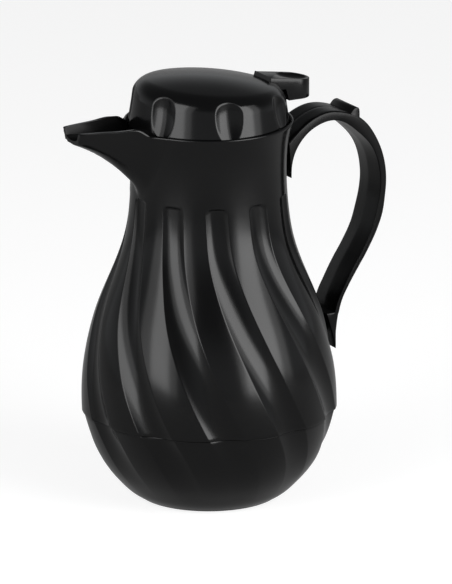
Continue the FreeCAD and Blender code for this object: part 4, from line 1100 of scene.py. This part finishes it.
    def build_bowl(self, rule: GeometryRule) -> bpy.types.Object:
        """Build the bowl: fading flutes, foot, recess and the tongue inside the seam.

        Args:
            rule: the flute rule.

        Returns:
            The bowl.
        """
        outer_heights = np.concatenate([np.linspace(*run) for run in self.bowl_runs])
        radius = smooth_curve(self.bowl_heights, self.bowl_radii, outer_heights)
        outer = [*self.bowl_top, *zip(radius, outer_heights), *self.bowl_foot]
        profile = outer + list(self.bowl_inside)
        columns = np.radians(self.columns())
        heights = np.array([z for _, z in profile])
        swirl = self.swirl_at(heights)
        fluted = np.array([1.0] * len(outer) + [0.0] * len(self.bowl_inside))
        radii = np.array([r for r, _ in profile])
        angle = columns[None, :] + swirl[:, None]
        vertices = np.stack([
            radii[:, None] * np.cos(angle), radii[:, None] * np.sin(angle),
            np.repeat(heights[:, None], len(columns), axis=1),
        ], axis=-1).reshape(-1, 3) * MM
        faces = grid_faces(len(profile), len(columns), round_rows=True)
        obj = make_object("base_bowl_skin", vertices, faces)
        self.dress_numbers(obj, np.repeat(heights, len(columns)), np.repeat(fluted, len(columns)))
        self.press_flutes(obj, rule, self.bowl_edge)
        shade(obj, sharp_degrees=40)
        return obj


# The lid


@dataclass
class DomedLid:
    """The lid's cap with its leaning crown, scallops and lever slot. Sizes in millimetres."""

    base: float = 243.5
    radius: float = 51.0
    taper: float = 7.9
    crown_radius: float = 180.0
    crown_offset: float = -13.18
    crown_height: float = 274.2
    shoulder: float = 12.0
    wall: float = 2.4
    scallops: int = 7
    scallop_radius: float = 18.0
    scallop_reach: float = 64.5
    scallop_height: float = 256.5
    scallop_lean: float = 15.9
    scallop_edge: float = 0.6
    scallop_bulge: float = 50.0
    edge_draw: float = 0.35
    edge_rise: float = 0.4
    slot_root: float = 37.6
    slot_end: float = 62.0
    slot_heights: Span = (250.0, 290.0)
    slot_half: float = 11.0
    columns: int = 400

    def add(self, materials: Materials) -> None:
        """Build and dress the cap."""
        cap = self.build(scallop_rule(materials["lid"]))
        finish_piece(cap, Body.LID, materials["lid"], "cap", "lid_cap")

    def section(self, angle: float, inset: float) -> np.ndarray:
        """Radius and height of one skin along one bearing, from the skirt up.

        Args:
            angle: the bearing in radians.
            inset: how far the skin lies under the outside.

        Returns:
            The corners, one row each.
        """
        taper = math.radians(self.taper)
        toward = np.array([math.cos(taper), math.sin(taper)])
        centre_z = self.crown_height - self.crown_radius

        def crown(radius: float, ball: float) -> float:
            """Height of a ball about the crown's centre, over one radius.

            Args:
                radius: distance from the lid's axis along the bearing.
                ball: the ball's radius.

            Returns:
                The height of its upper side.
            """
            x = radius * math.cos(angle) - self.crown_offset
            y = radius * math.sin(angle)
            return centre_z + math.sqrt(ball * ball - x * x - y * y)

        # The shoulder's centre touches skirt and crown alike, and is found step by step.
        height = self.base + 10
        for _ in range(30):
            reach = self.radius - (height - self.base) * math.tan(taper) - self.shoulder / toward[0]
            height = crown(reach, self.crown_radius - self.shoulder)
        middle = np.array([reach, height])
        slope = np.array([
            (reach * math.cos(angle) - self.crown_offset) * math.cos(angle)
            + reach * math.sin(angle) ** 2,
            height - centre_z,
        ])
        up = slope / np.linalg.norm(slope)
        first, last = math.atan2(toward[1], toward[0]), math.atan2(up[1], up[0])
        arc = [middle + (self.shoulder - inset) * np.array([math.cos(a), math.sin(a)])
               for a in np.linspace(first, last, 22)]
        wall = self.radius - inset / toward[0]
        rise = self.edge_rise
        soft = self.edge_draw if inset == 0 else 0.0
        skirt = [np.array([wall - soft, self.base]), np.array([wall - 0.05, self.base + rise])]
        start = np.array([wall - 2 * rise * math.tan(taper), self.base + 2 * rise])
        skirt += [start + (arc[0] - start) * s for s in np.linspace(0, 1, 18)[:-1]]
        edge = arc[-1][0]
        top = [np.array([edge * (1 - s), crown(edge * (1 - s), self.crown_radius - inset)])
               for s in np.linspace(0, 1, 30)[1:-1]]
        return np.array(skirt + arc + top)

    def skin(self, inset: float) -> np.ndarray:
        """Points of one skin in millimetres, row by row, with the peak last.

        Args:
            inset: how far the skin lies under the outside.

        Returns:
            The points, one row each.
        """
        angles = np.linspace(0, 2 * math.pi, self.columns, endpoint=False)
        sections = np.array([self.section(a, inset) for a in angles])
        points = np.stack([
            sections[..., 0] * np.cos(angles)[:, None], sections[..., 0] * np.sin(angles)[:, None],
            sections[..., 1],
        ], axis=-1).transpose(1, 0, 2).reshape(-1, 3)
        ball = self.crown_radius - inset
        peak = self.crown_height - self.crown_radius + math.sqrt(ball**2 - self.crown_offset**2)
        return np.vstack([points, [[0, 0, peak]]])

    def build(self, rule: GeometryRule) -> bpy.types.Object:
        """Build the cap: its outside, its inside and the ring between them.

        Args:
            rule: the scallop rule.

        Returns:
            The cap.
        """
        outside, inside = self.skin(0.0), self.skin(self.wall)
        count = (len(outside) - 1) // self.columns
        faces = grid_faces(count, self.columns)
        last = (count - 1) * self.columns
        faces += [[last + j, last + (j + 1) % self.columns, len(outside) - 1]
                  for j in range(self.columns)]
        under = [[len(outside) + v for v in reversed(face)] for face in faces]
        ring = [[(j + 1) % self.columns, j, len(outside) + j, len(outside) + (j + 1) % self.columns]
                for j in range(self.columns)]
        vertices = np.vstack([outside, inside]) * MM
        obj = make_object("lid_cap_skin", vertices, faces + under + ring)
        keep_number(obj, "inset", np.repeat([0.0, self.wall * MM], len(outside)))
        rule.apply(obj, count=self.scallops, radius=self.scallop_radius * MM,
                   reach=self.scallop_reach * MM, height=self.scallop_height * MM,
                   lean=math.radians(self.scallop_lean), edge=self.scallop_edge * MM,
                   bulge=self.scallop_bulge * MM)
        point_outwards(obj)
        root, half = self.slot_root, self.slot_half
        slot = [(root, -half), (self.slot_end, -half), (self.slot_end, half), (root, half)]
        cut(obj, prism("lever_slot", slot, *self.slot_heights, upright=True))
        shade(obj, sharp_degrees=42)
        return obj


# The handle


@dataclass
class LoopHandle:
    """The loop handle with its thumb stop. Sizes in millimetres."""

    half: float = 13.9
    ridge: float = 1.6
    outer_round: float = 2.0
    inner_round: float = 0.8
    parting: float = 0.22
    back: float = 50.6
    foot: float = 86.0
    reach: float = 122.0
    rise: float = 244.3
    strap: float = 5.4
    ledge: float = 109.8
    ledge_reach: float = 77.1
    ease_heights: tuple[float, ...] = (86, 100, 112, 125, 145, 165, 185, 205, 222, 245)
    eases: tuple[float, ...] = (0, 1.6, 3.0, 3.9, 3.5, 1.8, 0.6, 0.0, -0.6, -1.2)
    outer_shares: tuple[Point, ...] = (
        (0.0, 0.90), (0.24, 1.01), (0.60, 1.01), (0.89, 0.92), (1.02, 0.71),
        (0.97, 0.59), (0.93, 0.49), (0.55, 0.256), (0.465, 0.18), (0.48, 0.0),
    )
    inner_shares: tuple[Point, ...] = (
        (0.48, 0.155), (0.50, 0.256), (0.87, 0.46), (0.92, 0.54), (1.036, 0.675),
        (0.957, 0.853), (0.757, 0.943), (0.46, 1.041), (0.008, 0.922), (0.027, 0.763),
    )
    # Numbers of rows, and rows over which the ridge comes and goes.
    loop_rows: int = 150
    wedge_rows: int = 16
    ridge_start: float = 8.0
    ridge_end: float = 10.0
    bend_start: float = 70.0
    bend_run: float = 20.0
    top_drop: float = 1.9
    drop_start: float = 205.0
    drop_run: float = 25.0
    stop_poles: tuple[Point, ...] = (
        (92.4, 236.2), (94.2, 238.2), (97.0, 242.5), (99.8, 243.0), (101.7, 242.6),
        (101.9, 239.6), (101.8, 234.2),
    )
    stop_inset: float = 0.15
    stop_round: float = 0.5
    # Height, inner reach and outer reach of each boss.
    bosses: tuple[tuple[float, float, float], ...] = ((216.0, 47.9, 52.6), (99.0, 74.4, 83.0))
    boss_line: tuple[Point, ...] = ((0, 0), (5.2, 0), (5.5, 0.3))

    def add(self, materials: Materials) -> None:
        """Build and dress the handle."""
        finish_piece(self.build(), Body.JUG, materials["handle"], "handle", "handle")

    def paths(self) -> tuple[np.ndarray, np.ndarray]:
        """Matching points of the outer and inner curves, from the tail to the wedge.

        Returns:
            Reach and height of the outer points, and of the inner ones.
        """

        def placed(shares: Sequence[Point], strap: float) -> np.ndarray:
            """Poles of one curve in millimetres."""
            high = np.array([self.reach - strap - self.back, self.rise - strap - self.foot])
            return np.array(shares) * high + np.array([self.back, self.foot])

        outer = even_points(pole_curve(placed(self.outer_shares, 0.0), 400), 1600)
        inner = even_points(pole_curve(placed(self.inner_shares, self.strap), 400)[::-1], 1600)
        inboard = outer[:, 0] < self.bend_start
        split = int(np.argmin(np.abs(outer[:, 1] - self.ledge) + 1000 * inboard))
        upper = even_points(outer[: split + 1], self.loop_rows)
        loop = even_points(inner, self.loop_rows)
        wedge_outer = even_points(outer[split:], self.wedge_rows)[1:]
        tip = outer[-1]
        ledge = np.array([self.ledge_reach, self.ledge])
        corner = np.array([[loop[-1][0], self.ledge], ledge])
        step = even_points(corner, 4)[1:]
        back = even_points(np.array([ledge, tip]), self.wedge_rows - 3)[1:]
        wedge_inner = np.vstack([step, back])
        wedge_inner[-1] = tip + (ledge - tip) * 0.02
        return np.vstack([upper, wedge_outer]), np.vstack([loop, wedge_inner])

    def eased(self, path: np.ndarray) -> np.ndarray:
        """Draw the loop in and down at its top, and out at its lower bend.

        Args:
            path: reach and height of each point.

        Returns:
            The moved points.
        """
        shift = np.interp(path[:, 1], self.ease_heights, self.eases)
        far = ease((path[:, 0] - self.bend_start) / self.bend_run)
        drop = -self.top_drop * ease((path[:, 1] - self.drop_start) / self.drop_run)
        return path + np.stack([shift * far, drop], axis=1)

    def ring(self, outer: np.ndarray, inner: np.ndarray, ridge: float) -> list[np.ndarray]:
        """Section of the strap at one place, as points in space.

        Args:
            outer: reach and height of the outer curve's point.
            inner: reach and height of the inner curve's point.
            ridge: how far the inner face stands out in its middle.

        Returns:
            The section's corners.
        """
        across = outer - inner
        thick = float(np.linalg.norm(across))
        unit = across / max(thick, 1e-6)
        out_round = min(self.outer_round, thick * 0.42)
        in_round = min(self.inner_round, thick * 0.3)
        line = min(self.parting, thick * 0.05)
        half = self.half
        # Half of the section, from the middle of the outer face round to the inner face.
        side: list[Point] = [(0.0, thick - line), (0.28, thick - line * 0.4), (0.55, thick)]
        side += [(y, thick) for y in np.linspace(3.0, half - out_round, 4)]
        side += [(half - out_round * (1 - math.sin(a)), thick - out_round * (1 - math.cos(a)))
                 for a in np.linspace(0.3, math.pi / 2, 6)]
        side += [(half, thick - out_round - (thick - out_round - in_round) * s) for s in (0.5, 1.0)]
        side += [(half - in_round * (1 - math.cos(a)), in_round * (1 - math.sin(a)))
                 for a in np.linspace(0.4, math.pi / 2, 4)]
        side += [(y, -ridge * (1 - y / (half - in_round))) for y in (9.0, 5.0, 1.2)]
        ring = side + [(0.0, -ridge * 0.95)] + [(-y, d) for y, d in side[:0:-1]]
        points = []
        for y, d in ring:
            spot = inner + unit * d
            points.append(np.array([spot[0], y, spot[1]]))
        return points

    def build(self) -> bpy.types.Object:
        """Build the loop, its stop and its two bosses as one mesh.

        Returns:
            The handle.
        """
        outer, inner = (self.eased(path) for path in self.paths())
        total = len(outer)
        rings = []
        for index in range(total):
            coming = float(ease(np.array(index / self.ridge_start)))
            going = float(ease(np.array((self.loop_rows - index) / self.ridge_end)))
            rings.append(self.ring(outer[index], inner[index], self.ridge * (going * coming)))
        count = len(rings[0])
        vertices = np.array(rings).reshape(-1, 3) * MM
        faces = grid_faces(total, count)
        faces.append(list(range(count - 1, -1, -1)))
        faces.append(list(range((total - 1) * count, total * count)))
        obj = make_object("handle_loop", vertices, faces)
        point_outwards(obj)
        cut(obj, self.stop(), keep=True)
        for height, start, end in self.bosses:
            cut(obj, self.boss(height, start, end), keep=True)
        shade(obj, sharp_degrees=36)
        return obj

    def stop(self) -> bpy.types.Object:
        """The ridge across the handle's top that the thumb rests against.

        Returns:
            The closed ridge.
        """
        outline = [tuple(p) for p in pole_curve(self.stop_poles, 26)]
        half = self.half - self.stop_inset
        obj = prism("thumb_stop", outline, -half, half, upright=False)
        soften(obj, self.stop_round, segments=2, degrees=50)
        return obj

    def boss(self, height: float, start: float, end: float) -> bpy.types.Object:
        """A round boss along X between two reaches.

        Args:
            height: height of its axis.
            start: its inner reach.
            end: its outer reach.

        Returns:
            The closed boss.
        """
        length = end - start
        line = [*self.boss_line, (self.boss_line[-1][0], length), (0, length)]
        obj = turned_mesh("handle_boss", line, 40)
        for vertex in obj.data.vertices:
            x, y, z = vertex.co
            vertex.co = Vector((start * MM + z, y, height * MM - x))
        point_outwards(obj)
        return obj


# The lever, the valve and the stopper's trim


@dataclass
class ThumbLever:
    """The lever: dished pad, hollow lip, hub and forked arm. Sizes in millimetres."""

    half: float = 10.6
    hub_reach: float = 36.0
    hub_height: float = 258.0
    root: float = 39.0
    end: float = 71.1
    top_root: float = 268.8
    top_end: float = 264.2
    under: float = 260.4
    lip_base: float = 252.7
    lip_reach: float = 52.2
    lip_wall: float = 2.2
    lip_ceiling: float = 261.2
    edge_round: float = 0.45
    dish_reach: float = 59.4
    dish_lift: float = 0.35
    dish_size: tuple[float, float, float] = (10.2, 8.9, 3.0)
    hub_radius: float = 4.0
    web_inset: float = 0.3
    web_line: tuple[Point, ...] = (
        (34.0, 259.5), (38.2, 255.0), (40.6, 258.6), (44.0, 261.8), (46.0, 262.5),
        (39.2, 262.8), (39.0, 269.2), (36.6, 262.0),
    )
    arm_plan: tuple[Point, ...] = (
        (-2.5, 3.1), (3.1, 3.1), (3.1, -3.1), (-2.5, -3.1), (-2.5, -6.2), (34.5, -6.2),
        (34.5, 6.2), (-2.5, 6.2),
    )
    arm_heights: Span = (255.7, 260.3)

    def add(self, materials: Materials) -> None:
        """Build and dress the lever."""
        finish_piece(self.build(), Body.LEVER, materials["lever"], "lever", "thumb_lever")

    def slope(self) -> float:
        """Fall of the pad's top for each millimetre outwards."""
        return (self.top_root - self.top_end) / (self.end - self.root)

    def top(self, reach: float) -> float:
        """Height of the pad's sloping top."""
        return self.top_root - self.slope() * (reach - self.root)

    def tongue(self, start: float, end: float, half: float) -> list[Point]:
        """Plan of a tongue with a half round end.

        Args:
            start: reach of its square end.
            end: reach of its round end.
            half: half its width.

        Returns:
            The plan's corners.
        """
        centre = end - half
        arc = [(centre + half * math.cos(a), half * math.sin(a))
               for a in np.linspace(-math.pi / 2, math.pi / 2, 36)]
        return [(start, -half)] + arc + [(start, half)]

    def build(self) -> bpy.types.Object:
        """Build the lever as one mesh.

        Returns:
            The lever.
        """
        plan = self.tongue(self.root, self.end, self.half)
        obj = prism("thumb_lever_skin", plan, self.lip_base, self.top_root, upright=True)
        for vertex in obj.data.vertices:
            if vertex.co.z > (self.lip_base + 1) * MM:
                vertex.co.z = self.top(vertex.co.x / MM) * MM
        wall = self.lip_wall
        # The cutters end clear of the pad.
        inward, below, beside = 30.0, 248.0, 20.0
        gap = [
            (inward, below), (self.lip_reach, below), (self.lip_reach, self.lip_base),
            (self.lip_reach - wall, self.under), (inward, self.under),
        ]
        cut(obj, prism("pad_gap", gap, -beside, beside, upright=False))
        hollow = self.tongue(self.lip_reach + wall, self.end - wall, self.half - wall)
        cut(obj, prism("lip_hollow", hollow, below, self.lip_ceiling, upright=True))
        cut(obj, self.dish())
        soften(obj, self.edge_round, degrees=34)
        for piece in self.works():
            cut(obj, piece, keep=True)
        shade(obj, sharp_degrees=36)
        return obj

    def dish(self) -> bpy.types.Object:
        """The oval hollow in the pad, as a closed mesh.

        Returns:
            The mesh that cuts the hollow.
        """
        arc = np.linspace(0, math.pi, 30)
        obj = turned_mesh("pad_dish", [(math.sin(a) / MM, -math.cos(a) / MM) for a in arc], 72)
        for vertex in obj.data.vertices:
            x, y, z = (value * size for value, size in zip(vertex.co, self.dish_size))
            base = self.top(self.dish_reach) + self.dish_lift - self.slope() * x
            vertex.co = Vector(((self.dish_reach + x) * MM, y * MM, (base + z) * MM))
        point_outwards(obj)
        return obj

    def works(self) -> list[bpy.types.Object]:
        """Hub, web and forked arm under the pad.

        Returns:
            The three closed meshes.
        """
        radius = self.hub_radius
        hub = [(self.hub_reach + radius * math.cos(a), self.hub_height + radius * math.sin(a))
               for a in np.linspace(0, 2 * math.pi, 40, endpoint=False)]
        web_half = self.half - self.web_inset
        return [
            prism("lever_hub", hub, -self.half, self.half, upright=False),
            prism("lever_web", self.web_line, -web_half, web_half, upright=False),
            prism("lever_arm", self.arm_plan, *self.arm_heights, upright=True),
        ]


@dataclass
class WoundParts:
    """The valve's spring and the stopper's thread, wound by rule. Sizes in millimetres."""

    spring_turns: float = 6.5
    spring_radius: float = 7.65
    spring_wire: float = 0.52
    spring_base: float = 227.3
    spring_top: float = 246.8
    thread_turns: float = 2.2
    thread_radius: float = 41.68
    thread_wire: float = 0.4
    thread_base: float = 222.6
    thread_rise: float = 8.8

    def add(self, materials: Materials) -> None:
        """Wind and dress the spring, which the valve squashes, and the thread.

        Args:
            materials: every finish by its name.
        """
        rule = helix_rule(materials["steel"])
        coil = self.wound(rule, "valve_coil", self.spring_turns, self.spring_radius,
                          self.spring_top - self.spring_base, self.spring_base, self.spring_wire)
        finish_piece(coil, Body.LID, materials["steel"], "steel", "valve_spring")
        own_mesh(coil)
        thread = self.wound(rule, "stopper_thread", self.thread_turns, self.thread_radius,
                            self.thread_rise, self.thread_base, self.thread_wire)
        finish_piece(thread, Body.LID, materials["stopper"], "stopper")

    def wound(
        self, rule: GeometryRule, name: str, turns: float, radius: float, height: float,
        base: float, wire: float,
    ) -> bpy.types.Object:
        """Wind one wire about the vertical axis.

        Args:
            rule: the winding rule.
            name: the piece's name.
            turns: number of turns.
            radius: radius of the winding.
            height: its rise.
            base: height of its start.
            wire: radius of the wire.

        Returns:
            The wound object.
        """
        obj = make_object(name, np.zeros((1, 3)), [])
        rule.apply(obj, turns=turns, radius=radius * MM, height=height * MM, base=base * MM,
                   wire=wire * MM)
        shade(obj, sharp_degrees=60)
        return obj


# The studio


def aim(obj: bpy.types.Object, target: Vector, azimuth: float, elevation: float,
        distance: float) -> None:
    """Link an object and set it round a point, looking at it.

    Args:
        obj: a lamp or a camera.
        target: the point.
        azimuth: degrees round the vertical axis, from the -Y side towards +X.
        elevation: degrees above the horizon.
        distance: metres from the point.
    """
    bpy.context.scene.collection.objects.link(obj)
    around, up = math.radians(azimuth), math.radians(elevation)
    back = Vector((math.sin(around) * math.cos(up), -math.cos(around) * math.cos(up),
                   math.sin(up)))
    obj.location = target + back * distance
    obj.rotation_euler = (-back).to_track_quat("-Z", "Y").to_euler()


@dataclass(frozen=True)
class SoftBox:
    """A rectangular lamp beside the jug. Angles in degrees, the azimuth from the camera's."""

    name: str
    azimuth: float
    elevation: float
    distance: float
    width: float
    height: float
    power: float

    def build(self, target: Vector, camera_azimuth: float) -> None:
        """Add the lamp, aimed at a point.

        Args:
            target: the point.
            camera_azimuth: the camera's azimuth in degrees.
        """
        lamp = bpy.data.lights.new(self.name, "AREA")
        lamp.shape = "RECTANGLE"
        lamp.size, lamp.size_y = self.width, self.height
        lamp.energy = self.power
        obj = bpy.data.objects.new(self.name, lamp)
        aim(obj, target, camera_azimuth + self.azimuth, self.elevation, self.distance)


@dataclass(frozen=True)
class Studio:
    """The white stage, its lamps and the camera at the photograph's angle."""

    azimuth: float = -28.6
    elevation: float = 16.2
    distance: float = 5.0
    pixels_per_mm: float = 1.58
    picture: tuple[int, int] = (452, 584)
    axis_column: float = 208.5
    centre_height: float = 0.1316
    lens_width: float = 36.0
    clipping: Span = (0.05, 20.0)
    boxes: tuple[SoftBox, ...] = (
        SoftBox("left_wash", -50, 21, 1.5, 1.5, 1.3, 10.5),
        SoftBox("left_box", -46, 21, 1.45, 0.65, 1.2, 9.5),
        SoftBox("right_wash", 56, 21, 1.5, 1.4, 1.3, 12.0),
        SoftBox("right_box", 53, 21, 1.45, 0.8, 1.2, 14.5),
    )
    lit_height: float = 0.13
    mirrored: float = 0.22
    stage_grey: float = 0.3
    stage_glow: float = 0.8
    stage_half: float = 3.0
    stage_near: float = -2.0
    stage_bend: float = 1.8
    bend_radius: float = 0.3
    stage_top: float = 0.6
    stage_gap: float = 0.0002
    room_fade: Span = (0.05, 0.5)
    room_light: Span = (0.55, 0.13)
    room_colour: tuple[float, float, float] = (0.96, 0.98, 1.0)

    def whitened(self, name: str, share: float) -> bpy.types.Material:
        """A white surface that the camera sees bright, and reflections only in part.

        Args:
            name: the material's name.
            share: strength of the added white.

        Returns:
            The material.
        """
        material = bpy.data.materials.new(name)
        material.use_nodes = True
        material.node_tree.nodes.clear()
        work = NodeWork(material.node_tree)
        ray = work.add("ShaderNodeLightPath").outputs
        mirrored = work.maths("MULTIPLY", ray["Is Glossy Ray"], self.mirrored)
        seen = work.maths("MAXIMUM", ray["Is Camera Ray"], mirrored)
        seen = work.maths("MAXIMUM", seen, ray["Is Transmission Ray"])
        grey = self.stage_grey
        diffuse = work.fed("ShaderNodeBsdfDiffuse", {"Color": (grey, grey, grey, 1)})
        glow = work.fed("ShaderNodeEmission", {"Strength": work.maths("MULTIPLY", seen, share)})
        total = work.fed("ShaderNodeAddShader", {0: diffuse.outputs[0], 1: glow.outputs[0]})
        work.fed("ShaderNodeOutputMaterial", {"Surface": total.outputs[0]})
        return material

    def build_stage(self) -> None:
        """Lay the floor and its curved backdrop."""
        around = math.radians(self.azimuth)
        ahead = Vector((-math.sin(around), math.cos(around), 0))
        aside = Vector((math.cos(around), math.sin(around), 0))
        bend, radius = self.stage_bend, self.bend_radius
        path = [(self.stage_near, 0.0), (bend, 0.0)]
        path += [(bend + radius * math.sin(a), radius - radius * math.cos(a))
                 for a in np.linspace(0.15, math.pi / 2, 10)]
        path.append((bend + radius, self.stage_top))
        vertices = []
        for forward, up in path:
            for side in (-self.stage_half, self.stage_half):
                spot = ahead * forward + aside * side
                vertices.append((spot.x, spot.y, up - self.stage_gap))
        faces = [[2 * i, 2 * i + 1, 2 * i + 3, 2 * i + 2] for i in range(len(path) - 1)]
        stage = make_object("stage_sweep", np.array(vertices), faces)
        stage.data.materials.append(self.whitened("stage_white", self.stage_glow))
        stage.data.polygons.foreach_set("use_smooth", [True] * len(faces))

    def build_world(self) -> None:
        """A room that is pale at the horizon and dark overhead."""
        world = bpy.data.worlds.new("room")
        world.use_nodes = True
        world.node_tree.nodes.clear()
        work = NodeWork(world.node_tree)
        facing = work.add("ShaderNodeTexCoord").outputs["Generated"]
        fade = work.fed("ShaderNodeMapRange", {
            "Value": work.fed("ShaderNodeSeparateXYZ", {0: facing}).outputs["Z"],
            "From Min": self.room_fade[0], "From Max": self.room_fade[1],
            "To Min": self.room_light[0], "To Max": self.room_light[1],
        }, interpolation_type="SMOOTHSTEP")
        dim = work.fed("ShaderNodeBackground", {
            "Color": (*self.room_colour, 1), "Strength": fade.outputs[0],
        })
        white = work.add("ShaderNodeBackground")
        choose = work.fed("ShaderNodeMixShader", {
            0: work.add("ShaderNodeLightPath").outputs["Is Camera Ray"],
            1: dim.outputs[0], 2: white.outputs[0],
        })
        work.fed("ShaderNodeOutputWorld", {"Surface": choose.outputs[0]})
        bpy.context.scene.world = world

    def build_camera(self) -> None:
        """Set the camera where the photograph was taken from."""
        around = math.radians(self.azimuth)
        right = Vector((math.cos(around), math.sin(around), 0))
        aside = (self.picture[0] / 2 - self.axis_column) / self.pixels_per_mm * MM
        target = Vector((0, 0, self.centre_height)) + right * aside
        data = bpy.data.cameras.new("photo_camera")
        data.sensor_fit = "AUTO"
        data.sensor_width = self.lens_width
        data.lens = self.lens_width * self.pixels_per_mm / MM * self.distance / self.picture[1]
        data.clip_start, data.clip_end = self.clipping
        camera = bpy.data.objects.new("photo_camera", data)
        aim(camera, target, self.azimuth, self.elevation, self.distance)
        bpy.context.scene.camera = camera

    def build(self) -> None:
        """Build stage, world, lamps and camera."""
        self.build_stage()
        self.build_world()
        for box in self.boxes:
            box.build(Vector((0, 0, self.lit_height)), self.azimuth)
        self.build_camera()
        bpy.context.scene.view_settings.view_transform = "Standard"


CARRIED: dict[str, str] = {
    "foam_plug": "plug", "foam_insulation": "foam", "inner_liner": "liner", "liner_seal": "seal",
    "handle_screws": "steel", "stopper_gasket": "seal", "stopper_body": "stopper",
    "stopper_cover": "stopper", "cover_seal": "seal", "lid_screws": "steel",
    "lever_pin": "steel", "valve_stem": "valve", "valve_plug": "valve", "valve_seal": "seal",
    "stem_seal": "seal", "lifting_nut": "brass", "outer_shell": "body", "base_bowl": "body",
    "handle": "handle", "lid_cap": "lid", "thumb_lever": "lever", "valve_spring": "steel",
}


def dress_frame(materials: Materials) -> None:
    """Give every CAD node its finish.

    Args:
        materials: every finish by its name.
    """
    for node, finish in CARRIED.items():
        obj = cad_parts[node]
        if not obj.material_slots:
            obj.data.materials.append(materials[finish])
        for holder in obj.material_slots:
            holder.material = materials[finish]


def main() -> None:
    """Build the jug's looks and the studio."""
    logging.basicConfig(level=logging.INFO, format="%(name)s %(message)s")
    group = moulding_group()
    materials = {name: finish.build(group) for name, finish in FINISHES.items()}
    dress_frame(materials)
    for part in (FlutedBody(), LoopHandle(), DomedLid(), ThumbLever(), WoundParts()):
        LOG.info("building %s", type(part).__name__)
        part.add(materials)
    Studio().build()


if __name__ == "__main__":
    main()
